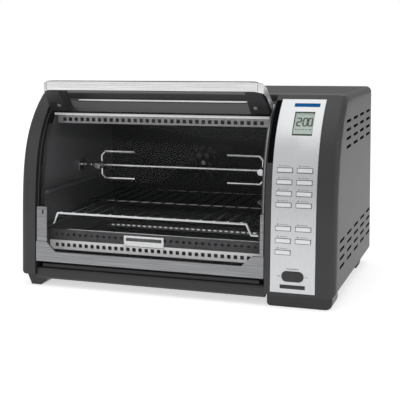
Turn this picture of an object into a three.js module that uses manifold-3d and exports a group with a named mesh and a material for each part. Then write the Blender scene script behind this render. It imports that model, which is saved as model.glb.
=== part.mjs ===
// Countertop toaster oven with rotisserie, as an assembly of separate named parts.
// Millimetres. X to the right, the front faces -Y, Z up, the floor is z = 0.
import * as THREE from 'three';
import { mergeVertices } from 'three/addons/utils/BufferGeometryUtils.js';
import Module from 'manifold-3d';

const wasm = await Module();
wasm.setup();

// ---------------------------------------------------------------- driving dimensions

const GAP = 0.3; // between neighbouring parts

// outer body
const WIDTH = 578;
const DEPTH = 360;
const BODY_TOP = 345;
const BODY_BOTTOM = 22;
const SHELL_WALL = 2.5;
const COVER_SHEET = 0.9;
const EDGE_RADIUS = 12;
const REAR_COVER_DEPTH = 8;
const LEFT_PANEL_WIDTH = 30.7;

// bowed front: how far it leans back from the bottom to the top
const FRONT_LEAN = 21.3;
const FRONT_SWEEP = 77.9;
const FRONT_SWEEP_POWER = 5.3;

// control column at the right
const COLUMN_WIDTH = 119;
const BEZEL_DEPTH = 24;
const FASCIA_LEFT_MARGIN = 10;
const FASCIA_WIDTH = 75.5;
const FASCIA_BOTTOM = 27;
const FASCIA_TOP_MARGIN = 6.5;
const FASCIA_THICK = 2;
const BUTTON_WIDTH = 24.5;
const BUTTON_HEIGHT = 6.3;
const BUTTON_LENGTH = 6;
const BUTTON_PROUD = 1.2;
const BUTTON_COLUMN_SPACING = 33.5;
const BUTTON_ROUNDING = 1.4;
const BUTTON_STEPS = [19.1, 18.5, 18.5, 38.5, 20, 19.2]; // from each row down to the next
const BUTTONS_FREE_HEIGHT_BELOW = 0.35; // share of the free height that lies under the rows
const DISPLAY_WIDTH = 34;
const DISPLAY_HEIGHT = 37;
const DISPLAY_TOP_MARGIN = 19.5;
const DISPLAY_OFFSET = 6;
const ACCENT_WIDTH = 43.5;
const ACCENT_HEIGHT = 5.4;
const ACCENT_TOP_MARGIN = 6.5;
const ACCENT_OFFSET = 7;
const SWITCH_WIDTH = 36;
const SWITCH_HEIGHT = 16.6;
const SWITCH_Z = 54.5;
const SWITCH_PROUD = 1.4;
const SWITCH_REACH = 4;
const BOARD_THICK = 1.6;

// door
const DOOR_GAP = 1.5;
const GLASS_INSET = 5;
const GLASS_THICK = 4;
const GLASS_BOTTOM = 58;
const GLASS_TOP_MARGIN = 14;
const TRIM_INSET = 1;
const TRIM_BOTTOM = 47;
const TRIM_MIDDLE_TOP = 65;
const TRIM_END_TOP = 83;
const TRIM_END_WIDTH = 19;
const TRIM_CHAMFER = 20;
const STRIP_WIDTH_LEFT = 20;
const STRIP_WIDTH_RIGHT = 6;
const STRIP_HEIGHT_LEFT = 62;
const STRIP_HEIGHT_RIGHT = 69;
const RAIL_DEPTH = 6.5;
const HINGE_CLEARANCE = 0.278; // behind the trim
const HINGE_RISE = 5.5;
const PIN_RADIUS = 2.5;
const PIN_REACH = 9;

// door handle: a bar across the top that turns down and back to the glass at each end
const HANDLE_SETBACK = 38.5;
const HANDLE_RISE = 17;
const HANDLE_HEIGHT = 17;
const HANDLE_DEPTH = 15;
const HANDLE_DROP = 34.5;
const HANDLE_BACK = 36.5;
const HANDLE_TURN = 8.5;
const HANDLE_TURN_SHARE = 0.26; // of the leg's length, taken up by the turn
const HANDLE_SPLAY = 3.2;
const HANDLE_END_INSET = 11;
const BAND_THICK = 1.2;
const BRACKET_WIDTH = 39;
const BRACKET_DROP = 18;

// sill and feet
const SILL_BOTTOM = 14;
const SILL_TOP = 35;
const SILL_INSET = 5;
const SILL_DEPTH = 11;
const FOOT_DEPTH = 46;
const FOOT_INSET = 12;
const LEFT_FOOT_WIDTH = 46;
const LEFT_FOOT_TAPER = 18;
const REAR_FOOT_WIDTH = 42;

// cavity
const CAVITY_SIDE_GAP = 10;
const CAVITY_BACK_MARGIN = 45;
const CAVITY_TOP_MARGIN = 35;
const CAVITY_WALL = 0.8;
const WALL_INSET = 16.5;
const WALL_BOTTOM = 33;
const LEDGE_WIDTH = 7;
const RAIL_LEVELS = [110, 170];
const RAIL_REACH = 8;
const HEADER_INSET = 12;

// heater guards: perforated strips
const GUARD_THICK = 1;
const GUARD_SIDE_GAP = 1.1;
const HOLE_SIZE = 6.8;
const HOLE_PITCH = 11.8;
const UPPER_GUARD_SETBACK = 84;
const UPPER_GUARD_DROP = 6;
const UPPER_GUARD_HEIGHT = 14;
const LOWER_GUARD_SETBACK = 39;
const LOWER_GUARD_BOTTOM = 62;
const LOWER_GUARD_HEIGHT = 17;
const BAFFLE_HEIGHT = 20;
const BAFFLE_HOLE_SIZE = 5;
const REAR_GUARD_MARGIN = 35;
const REAR_GUARD_BOTTOM = 53;
const REAR_GUARD_HEIGHT = 14;

// heaters: one U-shaped rod above and one below
const HEATER_RADIUS = 3.6;
const HEATER_SETBACK = 108;
const HEATER_REAR_MARGIN = 63;
const UPPER_HEATER_DROP = 14;
const LOWER_HEATER_Z = 70;
const HEATER_TURN = 24;

// rotisserie
const SPIT_OFFSET = 10.5; // behind the middle of the cavity's depth
const SPIT_Z = 201.5;
const SPIT_RADIUS = 3.2;
const FORK_HUB_RADIUS = 7.5;
const FORK_HUB_LENGTH = 13;
const FORK_HALF_SPAN = 26;
const FORK_BEND = 7;
const FORK_TINE_RADIUS = 2.8;
const FORK_TINE_LENGTH = 62;
const LEFT_FORK_MARGIN = 48.3;
const RIGHT_FORK_MARGIN = 36;
const SOCKET_RADIUS = 8;
const SOCKET_LENGTH = 20;
const DRIVE_SHAFT_RADIUS = 4;

// wire rack
const RACK_SETBACK = 25;
const RACK_REAR_MARGIN = 20;
const RACK_RISE = 18.5;
const RACK_FOOT = 11;
const RUNNER_RADIUS = 2.4;
const RACK_WIRE_RADIUS = 1.6;
const RACK_WIRES = 15;
const RACK_SIDE_GAP = 4.6;
const RACK_SLOPE = 9;
const RACK_WIRE_MARGIN = 8;

// crumb tray
const TRAY_LIFT = 1.8;
const TRAY_HEIGHT = 5.4;
const TRAY_SHEET = 1;
const TRAY_SETBACK = 10;
const TRAY_REAR_MARGIN = 5;

// convection fan behind the back wall
const FAN_Z = 190;
const FAN_RADIUS = 44;
const FAN_BLADES = 6;
const FAN_BLADE_DEPTH = 8;
const FAN_OPENING = 50;
const FAN_SHAFT_RADIUS = 3;
const FAN_MOTOR_RADIUS = 24;
const FAN_MOTOR_DEPTH = 17;

// louvre slots in the right side panel
const SLOT_LENGTH = 42;
const SLOT_HEIGHT = 5;
const SLOT_COLUMN_PITCH = 66.5;
const SLOT_ROW_PITCH = 14.5;
const SLOT_ROWS = 4;
const UPPER_SLOTS_FRONT_MARGIN = 91;
const UPPER_SLOTS_REAR_MARGIN = 27.5;
const UPPER_SLOTS_DROP = 87;
const LOWER_SLOTS_FRONT_MARGIN = 36;
const LOWER_SLOTS_REAR_MARGIN = 16;
const LOWER_SLOTS_RISE = 43;

// louvre slots in the rear cover
const REAR_SLOT_LENGTH = 90;
const REAR_SLOT_ROWS = 5;
const REAR_SLOTS_OFFSET = 110; // each side of the cavity's middle
const REAR_SLOTS_DROP = 95;

// ---------------------------------------------------------------- derived places

const HALF_W = WIDTH / 2;
const FRONT_Y = -DEPTH / 2;
const BACK_Y = DEPTH / 2;
const REAR_SEAM_Y = BACK_Y - REAR_COVER_DEPTH;
const SIDE_SEAM_X = HALF_W - EDGE_RADIUS - 1;
const LEFT_PANEL_X = -HALF_W + LEFT_PANEL_WIDTH;
const COLUMN_X = HALF_W - COLUMN_WIDTH;
const DOOR_LEFT = LEFT_PANEL_X + DOOR_GAP;
const DOOR_RIGHT = COLUMN_X - DOOR_GAP;
const DOOR_CENTRE = (DOOR_LEFT + DOOR_RIGHT) / 2;
const CAVITY_LEFT = LEFT_PANEL_X + CAVITY_SIDE_GAP;
const CAVITY_RIGHT = COLUMN_X - CAVITY_SIDE_GAP;
const CAVITY_CENTRE = (CAVITY_LEFT + CAVITY_RIGHT) / 2;
const CAVITY_BACK = BACK_Y - CAVITY_BACK_MARGIN;
const CAVITY_TOP = BODY_TOP - CAVITY_TOP_MARGIN;
const GLASS_TOP = BODY_TOP - GLASS_TOP_MARGIN;
const HINGE_Z = TRIM_BOTTOM + HINGE_RISE;
const HINGE_Y = frontDepthAt(HINGE_Z, GLASS_INSET - GAP) + PIN_RADIUS + HINGE_CLEARANCE;
const HANDLE_Y = FRONT_Y + HANDLE_SETBACK;
const HANDLE_Z = BODY_TOP + HANDLE_RISE;
const BRACKET_BOTTOM = GLASS_TOP - BRACKET_DROP;
const RACK_FRONT = FRONT_Y + RACK_SETBACK;
const RACK_BACK = CAVITY_BACK - RACK_REAR_MARGIN;
const TRAY_BOTTOM = WALL_BOTTOM + CAVITY_WALL + TRAY_LIFT;
const TRAY_FRONT = FRONT_Y + TRAY_SETBACK;
const TRAY_BACK = CAVITY_BACK - TRAY_REAR_MARGIN;
const HEATER_FRONT_Y = FRONT_Y + HEATER_SETBACK;
const HEATER_REAR_Y = CAVITY_BACK - HEATER_REAR_MARGIN;
const SPIT_Y = (FRONT_Y + WALL_INSET + CAVITY_BACK) / 2 + SPIT_OFFSET - WALL_INSET / 2;
const FASCIA_TOP = BODY_TOP - FASCIA_TOP_MARGIN;
const DISPLAY_TOP = FASCIA_TOP - DISPLAY_TOP_MARGIN;
const DISPLAY_BOTTOM = DISPLAY_TOP - DISPLAY_HEIGHT;
const ACCENT_BOTTOM = FASCIA_TOP - ACCENT_TOP_MARGIN - ACCENT_HEIGHT;
const FASCIA_LEFT = COLUMN_X + FASCIA_LEFT_MARGIN;
const FASCIA_RIGHT = FASCIA_LEFT + FASCIA_WIDTH;
const FASCIA_CENTRE = (FASCIA_LEFT + FASCIA_RIGHT) / 2;
const DISPLAY_X = FASCIA_CENTRE + DISPLAY_OFFSET;
const ACCENT_X = FASCIA_CENTRE + ACCENT_OFFSET;
const HEADER_SEAM_Y = frontDepthAt(BODY_TOP, BEZEL_DEPTH) + 3 * GAP;

// ---------------------------------------------------------------- front profile

// How far the front surface lies behind the front plane at a height.
function setback(z) {
  const t = (z - BODY_BOTTOM) / (BODY_TOP - BODY_BOTTOM);
  return FRONT_LEAN * t + FRONT_SWEEP * Math.max(t, 0) ** FRONT_SWEEP_POWER;
}

// A point [y, z] on the front surface, moved into the body along its normal.
function frontPoint(z, inset) {
  const step = 0.01;
  const slope = (setback(z + step) - setback(z - step)) / (2 * step);
  const length = Math.hypot(1, slope);
  return [FRONT_Y + setback(z) + inset / length, z - (inset * slope) / length];
}

// Tilt of the front surface from the vertical, in radians.
function frontTilt(z) {
  return Math.atan(setback(z + 0.5) - setback(z - 0.5));
}

// The height on the front surface whose inset point lies at a given height.
function surfaceHeight(target, inset) {
  let low = target - 40;
  let high = target + 40;
  for (let i = 0; i < 40; i += 1) {
    const middle = (low + high) / 2;
    if (frontPoint(middle, inset)[1] < target) low = middle;
    else high = middle;
  }
  return (low + high) / 2;
}

// How far back the inset front surface lies at a height.
function frontDepthAt(z, inset) {
  return frontPoint(surfaceHeight(z, inset), inset)[0];
}

// Points [y, z] along the inset front surface between two heights.
function frontCurve(zLow, zHigh, inset, steps) {
  const from = surfaceHeight(zLow, inset);
  const to = surfaceHeight(zHigh, inset);
  const points = [];
  for (let i = 0; i <= steps; i += 1) {
    points.push(frontPoint(from + ((to - from) * i) / steps, inset));
  }
  return points;
}

// ---------------------------------------------------------------- solids

function solidOf(geometry) {
  const plain = geometry.clone();
  plain.deleteAttribute('normal');
  plain.deleteAttribute('uv');
  const merged = mergeVertices(plain, 1e-4);
  return new wasm.Manifold(new wasm.Mesh({
    numProp: 3,
    vertProperties: new Float32Array(merged.attributes.position.array),
    triVerts: new Uint32Array(merged.index.array),
  }));
}

function geometryOf(solid) {
  const mesh = solid.getMesh();
  const geometry = new THREE.BufferGeometry();
  geometry.setAttribute('position', new THREE.BufferAttribute(mesh.vertProperties, 3));
  geometry.setIndex(new THREE.BufferAttribute(mesh.triVerts, 1));
  geometry.computeVertexNormals();
  return geometry;
}

function shapeOf(points) {
  return new THREE.Shape(points.map(([u, v]) => new THREE.Vector2(u, v)));
}

function placed(geometry, xAxis, yAxis, zAxis, origin) {
  const frame = new THREE.Matrix4().makeBasis(xAxis, yAxis, zAxis);
  frame.setPosition(origin);
  return solidOf(geometry.applyMatrix4(frame));
}

const X = new THREE.Vector3(1, 0, 0);
const Y = new THREE.Vector3(0, 1, 0);
const Z = new THREE.Vector3(0, 0, 1);

// An outline of [y, z] points extruded from x0 to x1.
function extrudeX(points, x0, x1) {
  const geometry = new THREE.ExtrudeGeometry(shapeOf(points), { depth: x1 - x0, bevelEnabled: false });
  return placed(geometry, Y, Z, X, new THREE.Vector3(x0, 0, 0));
}

// An outline of [x, z] points, or a Shape, extruded from y0 to y1.
function extrudeY(outline, y0, y1) {
  const shape = outline instanceof THREE.Shape ? outline : shapeOf(outline);
  const geometry = new THREE.ExtrudeGeometry(
    shape, { depth: y1 - y0, bevelEnabled: false, curveSegments: 3 },
  );
  return placed(geometry, X, Z, Y.clone().negate(), new THREE.Vector3(0, y1, 0));
}

function box(x0, x1, y0, y1, z0, z1) {
  const geometry = new THREE.BoxGeometry(x1 - x0, y1 - y0, z1 - z0);
  return solidOf(geometry.translate((x0 + x1) / 2, (y0 + y1) / 2, (z0 + z1) / 2));
}

function rod(from, to, radius, sides = 8) {
  const a = new THREE.Vector3(...from);
  const b = new THREE.Vector3(...to);
  const geometry = new THREE.CylinderGeometry(radius, radius, a.distanceTo(b), sides);
  const turn = new THREE.Quaternion().setFromUnitVectors(Y, b.clone().sub(a).normalize());
  geometry.applyQuaternion(turn);
  const centre = a.clone().add(b).multiplyScalar(0.5);
  return solidOf(geometry.translate(centre.x, centre.y, centre.z));
}

function ball(at, radius) {
  return solidOf(new THREE.SphereGeometry(radius, 8, 4).translate(...at));
}

function join(solids) {
  return solids.reduce((sum, solid) => sum.add(solid));
}

// A curved sheet between two insets of the front surface.
function frontSheet(x0, x1, zLow, zHigh, outer, inner, steps = 16) {
  const outside = frontCurve(zLow, zHigh, outer, steps);
  const inside = frontCurve(zLow, zHigh, inner, steps).reverse();
  return extrudeX([...outside, ...inside], x0, x1);
}

// Everything in front of the inset front surface.
function inFrontOf(inset) {
  const curve = frontCurve(-20, BODY_TOP + 40, inset, 26);
  return extrudeX([...curve, [FRONT_Y - 60, BODY_TOP + 40], [FRONT_Y - 60, -20]], -HALF_W - 5, HALF_W + 5);
}

// A rounded rectangle or a slot with round ends, centred on a point of the X-Z plane.
function roundedRect(cx, cz, width, height, radius) {
  const shape = new THREE.Shape();
  const right = cx + width / 2 - radius;
  const left = cx - width / 2 + radius;
  const top = cz + height / 2 - radius;
  const bottom = cz - height / 2 + radius;
  shape.absarc(right, top, radius, 0, Math.PI / 2);
  shape.absarc(left, top, radius, Math.PI / 2, Math.PI);
  shape.absarc(left, bottom, radius, Math.PI, 1.5 * Math.PI);
  shape.absarc(right, bottom, radius, 1.5 * Math.PI, 2 * Math.PI);
  shape.closePath();
  return shape;
}

// Sweeps a convex section along a path. Its points are [outwards, up]: up stays vertical, and
// outwards is level, towards the front where the path runs along +X.
function uprightSweep(section, path, steps) {
  const positions = [];
  for (let i = 0; i <= steps; i += 1) {
    const at = path.getPoint(i / steps);
    const along = path.getTangent(i / steps);
    const level = Math.hypot(along.x, along.y);
    for (const [outwards, up] of section) {
      const x = at.x + (outwards * along.y) / level;
      const y = at.y - (outwards * along.x) / level;
      positions.push(x, y, at.z + up);
    }
  }
  const count = section.length;
  const faces = [];
  for (let i = 0; i < steps; i += 1) {
    for (let j = 0; j < count; j += 1) {
      const here = i * count + j;
      const next = i * count + ((j + 1) % count);
      faces.push(here, next + count, next, here, here + count, next + count);
    }
  }
  const last = steps * count;
  for (let j = 1; j < count - 1; j += 1) {
    faces.push(0, j, j + 1);
    faces.push(last, last + j + 1, last + j);
  }
  const geometry = new THREE.BufferGeometry();
  geometry.setAttribute('position', new THREE.Float32BufferAttribute(positions, 3));
  geometry.setIndex(faces);
  return solidOf(geometry);
}

// ---------------------------------------------------------------- parts and materials

const oven = new THREE.Group();

function finish(color, roughness, metalness) {
  return { color, roughness, metalness };
}

const FINISHES = {
  body: finish(0x4c4c4e, 0.55, 0.1),
  dark: finish(0x2c2c2e, 0.5, 0.1),
  fascia: finish(0xcfd0d2, 0.35, 0.8),
  steel: finish(0xb8b9bb, 0.3, 0.9),
  bright: finish(0xe2e3e4, 0.25, 0.9),
  chrome: finish(0xd8dadc, 0.12, 1.0),
  enamel: finish(0x262628, 0.4, 0.2),
  button: finish(0xdedfe0, 0.35, 0.3),
  lens: finish(0xa9b7ad, 0.15, 0.0),
  accent: finish(0x0b4f8f, 0.35, 0.2),
  board: finish(0x1f5a34, 0.6, 0.0),
  rubber: finish(0x1c1c1d, 0.8, 0.0),
};

function add(name, solid, finishName) {
  const values = FINISHES[finishName];
  const material = new THREE.MeshStandardMaterial({ ...values });
  if (name === 'door_glass') {
    material.transparent = true;
    material.opacity = 0.25;
  }
  const mesh = new THREE.Mesh(geometryOf(solid), material);
  mesh.name = name;
  oven.add(mesh);
}

// ---------------------------------------------------------------- outer shell

function bodyOutline(inset) {
  const front = frontCurve(BODY_BOTTOM + inset, BODY_TOP - inset, inset, 20);
  return [...front, [BACK_Y - inset, BODY_TOP - inset], [BACK_Y - inset, BODY_BOTTOM + inset]];
}

// The whole body as one block with rounded ends, smaller by an inset.
function bodyBlock(inset) {
  const radius = EDGE_RADIUS - inset;
  const half = HALF_W - inset;
  const geometry = new THREE.ExtrudeGeometry(shapeOf(bodyOutline(inset)), {
    depth: 2 * (half - radius),
    bevelEnabled: true,
    bevelSize: radius,
    bevelThickness: radius,
    bevelOffset: -radius,
    bevelSegments: 4,
  });
  return placed(geometry, Y, Z, X, new THREE.Vector3(-half + radius, 0, 0));
}

const outerBlock = bodyBlock(0);
const innerBlock = bodyBlock(SHELL_WALL);
const shell = outerBlock.subtract(innerBlock);
const sheetShell = outerBlock.subtract(bodyBlock(COVER_SHEET));
const FAR = 1000;

function slab(x0, x1, y0 = -FAR, y1 = FAR, z0 = -FAR, z1 = FAR) {
  return box(x0, x1, y0, y1, z0, z1);
}

function pinHole(x0, x1) {
  return rod([x0, HINGE_Y, HINGE_Z], [x1, HINGE_Y, HINGE_Z], PIN_RADIUS + GAP, 16);
}

function leftEndPanel() {
  const outside = outerBlock.intersect(slab(-FAR, LEFT_PANEL_X, -FAR, REAR_SEAM_Y - GAP));
  const inside = innerBlock.intersect(slab(-FAR, LEFT_PANEL_X - SHELL_WALL));
  const hole = pinHole(LEFT_PANEL_X - 2 * SHELL_WALL, LEFT_PANEL_X + 1);
  return outside.subtract(inside).subtract(hole);
}

function topCover() {
  const region = slab(LEFT_PANEL_X + GAP, SIDE_SEAM_X - GAP, HEADER_SEAM_Y, REAR_SEAM_Y - GAP,
    BODY_TOP - 2 * SHELL_WALL);
  return sheetShell.intersect(region);
}

function basePan() {
  const front = FRONT_Y + BEZEL_DEPTH + 2 * GAP;
  const region = slab(LEFT_PANEL_X + GAP, SIDE_SEAM_X - GAP, front, REAR_SEAM_Y - GAP,
    -FAR, BODY_BOTTOM + 2 * SHELL_WALL);
  return sheetShell.intersect(region);
}

function rearCover() {
  let cover = sheetShell.intersect(slab(-FAR, FAR, REAR_SEAM_Y));
  for (let row = 0; row < REAR_SLOT_ROWS; row += 1) {
    const z = BODY_TOP - REAR_SLOTS_DROP + row * SLOT_ROW_PITCH;
    for (const side of [-1, 1]) {
      const x = CAVITY_CENTRE + side * REAR_SLOTS_OFFSET;
      const slot = roundedRect(x, z, REAR_SLOT_LENGTH, SLOT_HEIGHT, SLOT_HEIGHT / 2 - 0.1);
      cover = cover.subtract(extrudeY(slot, REAR_SEAM_Y, BACK_Y + 5));
    }
  }
  return cover.subtract(rod([GLAND_X, REAR_SEAM_Y, GLAND_Z], [GLAND_X, BACK_Y + 5, GLAND_Z],
    GLAND_RADIUS + GAP, 20));
}

// Rows of slots from one margin to the other; as many columns as fit.
function slotBlock(frontMargin, rearMargin, firstZ) {
  const lastY = BACK_Y - rearMargin - SLOT_LENGTH / 2;
  const free = lastY - (FRONT_Y + frontMargin + SLOT_LENGTH / 2);
  const columns = Math.floor(free / SLOT_COLUMN_PITCH + 0.01) + 1;
  const slots = [];
  for (let column = 0; column < columns; column += 1) {
    for (let row = 0; row < SLOT_ROWS; row += 1) {
      const shape = roundedRect(0, 0, SLOT_LENGTH, SLOT_HEIGHT, SLOT_HEIGHT / 2 - 0.1);
      const geometry = new THREE.ExtrudeGeometry(
        shape, { depth: 20, bevelEnabled: false, curveSegments: 1 },
      );
      const y = lastY - column * SLOT_COLUMN_PITCH;
      const z = firstZ + row * SLOT_ROW_PITCH;
      slots.push(placed(geometry, Y, Z, X, new THREE.Vector3(HALF_W - 10, y, z)));
    }
  }
  return slots;
}

function rightSidePanel() {
  const region = slab(SIDE_SEAM_X, FAR, -FAR, REAR_SEAM_Y - GAP);
  let panel = shell.intersect(region).subtract(inFrontOf(BEZEL_DEPTH + GAP));
  const upper = slotBlock(UPPER_SLOTS_FRONT_MARGIN, UPPER_SLOTS_REAR_MARGIN, BODY_TOP - UPPER_SLOTS_DROP);
  const lower = slotBlock(
    LOWER_SLOTS_FRONT_MARGIN, LOWER_SLOTS_REAR_MARGIN, BODY_BOTTOM + LOWER_SLOTS_RISE,
  );
  for (const slot of [...upper, ...lower]) {
    panel = panel.subtract(slot);
  }
  return panel;
}

function frontHeader() {
  const topFront = frontDepthAt(BODY_TOP, 0);
  const outer = frontCurve(CAVITY_TOP, GLASS_TOP + 3, HEADER_INSET, 6);
  const inner = frontCurve(CAVITY_TOP, GLASS_TOP + 3, HEADER_INSET + 2, 6).reverse();
  const lip = outer[outer.length - 1][0];
  const outline = [
    ...outer,
    [lip, BODY_TOP - 1.5],
    [lip + 1.5, BODY_TOP],
    [HEADER_SEAM_Y - GAP, BODY_TOP],
    [HEADER_SEAM_Y - GAP, BODY_TOP - SHELL_WALL],
    [Math.max(topFront, lip) + 4, BODY_TOP - SHELL_WALL],
    ...inner,
  ];
  return extrudeX(outline, LEFT_PANEL_X + GAP, COLUMN_X - GAP);
}

function frontSill() {
  const front = FRONT_Y + SILL_INSET;
  const back = front + SILL_DEPTH;
  const outline = [
    [front + 3, SILL_BOTTOM],
    [back, SILL_BOTTOM],
    [back, SILL_TOP],
    [front + 4, SILL_TOP],
    [front + 1, SILL_TOP - 2],
    [front, SILL_TOP - 6],
    [front, SILL_BOTTOM + 4],
  ];
  return extrudeX(outline, LEFT_PANEL_X + GAP, COLUMN_X - GAP);
}

// ---------------------------------------------------------------- feet

const FOOT_TOP = BODY_BOTTOM - GAP;

function leftFrontFoot() {
  const left = -HALF_W + 7;
  const right = left + LEFT_FOOT_WIDTH;
  const step = LEFT_PANEL_X - GAP;
  const outline = [
    [left, FOOT_TOP],
    [left + LEFT_FOOT_TAPER / 2, 0],
    [right - LEFT_FOOT_TAPER, 0],
    [right, SILL_BOTTOM - GAP],
    [step, SILL_BOTTOM - GAP],
    [step, FOOT_TOP],
  ];
  return extrudeY(outline, FRONT_Y + FOOT_INSET, FRONT_Y + FOOT_INSET + FOOT_DEPTH);
}

function rightFrontFoot() {
  const shape = new THREE.Shape();
  const left = COLUMN_X + 2;
  const right = HALF_W - 7;
  const radius = 12;
  shape.moveTo(left, FOOT_TOP);
  shape.lineTo(left, 6);
  shape.absarc(left + 6, 6, 6, Math.PI, 1.5 * Math.PI);
  shape.lineTo(right - radius, 0);
  shape.absarc(right - radius, radius, radius, 1.5 * Math.PI, 2 * Math.PI);
  shape.lineTo(right, FOOT_TOP);
  return extrudeY(shape, FRONT_Y + FOOT_INSET, FRONT_Y + FOOT_INSET + FOOT_DEPTH);
}

function rearFoot(side) {
  const outer = HALF_W - FOOT_INSET;
  const outline = [
    [side * outer, FOOT_TOP],
    [side * (outer - 4), 0],
    [side * (outer - REAR_FOOT_WIDTH + 4), 0],
    [side * (outer - REAR_FOOT_WIDTH), FOOT_TOP],
  ];
  const points = side > 0 ? outline.reverse() : outline;
  return extrudeY(points, BACK_Y - 70, BACK_Y - 30);
}

// ---------------------------------------------------------------- control column

function frontCut(x0, x1, z0, z1) {
  return box(x0, x1, FRONT_Y - 20, 0, z0, z1).intersect(inFrontOf(SHELL_WALL + 1));
}

function controlBezel() {
  const outside = outerBlock.intersect(slab(COLUMN_X, FAR)).intersect(inFrontOf(BEZEL_DEPTH));
  const inside = innerBlock.intersect(slab(COLUMN_X + SHELL_WALL, FAR));
  const hole = pinHole(COLUMN_X - 1, COLUMN_X + 2 * SHELL_WALL);
  const window = frontCut(FASCIA_LEFT, FASCIA_RIGHT, FASCIA_BOTTOM, FASCIA_TOP);
  return outside.subtract(inside).subtract(window).subtract(hole);
}

// A solid prism along the front surface's normal, from an inset outwards.
function normalPrism(shape, x, z, outer, inner, curveSegments = 2) {
  const tilt = frontTilt(z);
  const [y0, z0] = frontPoint(z, inner);
  const outwards = new THREE.Vector3(0, -Math.cos(tilt), Math.sin(tilt));
  const upwards = new THREE.Vector3(0, Math.sin(tilt), Math.cos(tilt));
  const geometry = new THREE.ExtrudeGeometry(
    shape, { depth: inner - outer, bevelEnabled: false, curveSegments },
  );
  return placed(geometry, X, upwards, outwards, new THREE.Vector3(x, y0, z0));
}

const LEFT_BUTTON_X = FASCIA_CENTRE - BUTTON_COLUMN_SPACING / 2;
const RIGHT_BUTTON_X = FASCIA_CENTRE + BUTTON_COLUMN_SPACING / 2;

// Row heights from the top down: the last row has a single button.
function buttonRows() {
  const span = BUTTON_STEPS.reduce((sum, step) => sum + step, 0);
  const switchTop = SWITCH_Z + SWITCH_HEIGHT / 2;
  const free = DISPLAY_BOTTOM - switchTop - span - BUTTON_HEIGHT;
  let z = switchTop + free * BUTTONS_FREE_HEIGHT_BELOW + BUTTON_HEIGHT / 2 + span;
  const rows = [z];
  for (const step of BUTTON_STEPS) {
    z -= step;
    rows.push(z);
  }
  return rows;
}

const BUTTON_ROWS = buttonRows();
const TOP_ROW = BUTTON_ROWS[0];
const LAST_ROW = BUTTON_ROWS.at(-1);

function buttonPlaces() {
  const places = [];
  for (const z of BUTTON_ROWS) {
    places.push([LEFT_BUTTON_X, z]);
    if (z > LAST_ROW) places.push([RIGHT_BUTTON_X, z]);
  }
  return places;
}

function button(x, z) {
  const shape = roundedRect(0, 0, BUTTON_WIDTH, BUTTON_HEIGHT, BUTTON_ROUNDING);
  return normalPrism(shape, x, z, -BUTTON_PROUD, BUTTON_LENGTH - BUTTON_PROUD);
}

function buttonHole(x, z) {
  const shape = roundedRect(0, 0, BUTTON_WIDTH + 2 * GAP, BUTTON_HEIGHT + 2 * GAP, BUTTON_ROUNDING + GAP);
  return normalPrism(shape, x, z, -5, FASCIA_THICK + 5);
}

function switchShape(grow) {
  const height = SWITCH_HEIGHT + 2 * grow;
  return roundedRect(0, 0, SWITCH_WIDTH + 2 * grow, height, height / 2 - 0.1);
}

function powerRocker() {
  return normalPrism(switchShape(0), FASCIA_CENTRE, SWITCH_Z, -SWITCH_PROUD, SWITCH_REACH, 6);
}

function controlFascia() {
  let plate = frontSheet(FASCIA_LEFT + GAP, FASCIA_RIGHT - GAP, FASCIA_BOTTOM + GAP, FASCIA_TOP - GAP,
    GAP, GAP + FASCIA_THICK, 20);
  for (const [x, z] of buttonPlaces()) {
    plate = plate.subtract(buttonHole(x, z));
  }
  const display = frontCut(DISPLAY_X - DISPLAY_WIDTH / 2, DISPLAY_X + DISPLAY_WIDTH / 2,
    DISPLAY_BOTTOM, DISPLAY_TOP);
  const accent = frontCut(ACCENT_X - ACCENT_WIDTH / 2, ACCENT_X + ACCENT_WIDTH / 2,
    ACCENT_BOTTOM, ACCENT_BOTTOM + ACCENT_HEIGHT);
  const oval = normalPrism(switchShape(2 * GAP), FASCIA_CENTRE, SWITCH_Z, -5, FASCIA_THICK + 5, 6);
  return plate.subtract(display).subtract(accent).subtract(oval);
}

function displayLens() {
  const half = DISPLAY_WIDTH / 2 - GAP;
  return frontSheet(DISPLAY_X - half, DISPLAY_X + half, DISPLAY_BOTTOM + GAP, DISPLAY_TOP - GAP,
    2 * GAP, 2 * GAP + 1.4, 5);
}

function lcdModule() {
  const half = DISPLAY_WIDTH / 2 - 2;
  return frontSheet(DISPLAY_X - half, DISPLAY_X + half, DISPLAY_BOTTOM + 2, DISPLAY_TOP - 4, 4, 9, 2);
}

function accentBar() {
  const half = ACCENT_WIDTH / 2 - GAP;
  return frontSheet(ACCENT_X - half, ACCENT_X + half, ACCENT_BOTTOM + GAP,
    ACCENT_BOTTOM + ACCENT_HEIGHT - GAP, 0.1, FASCIA_THICK, 2);
}

// A flat board behind the buttons, clear of them when they are pressed.
function controlBoard() {
  const inset = BUTTON_LENGTH - BUTTON_PROUD + 3;
  const low = frontPoint(LAST_ROW - 12, inset);
  const high = frontPoint(TOP_ROW + 14, inset);
  const outline = [low, high, [high[0] + BOARD_THICK, high[1]], [low[0] + BOARD_THICK, low[1]]];
  return extrudeX(outline, FASCIA_LEFT + 4, FASCIA_RIGHT - 4);
}

// ---------------------------------------------------------------- door

function doorGlass() {
  return frontSheet(DOOR_LEFT + 1, DOOR_RIGHT - 1, GLASS_BOTTOM, GLASS_TOP, GLASS_INSET,
    GLASS_INSET + GLASS_THICK, 22);
}

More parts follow.
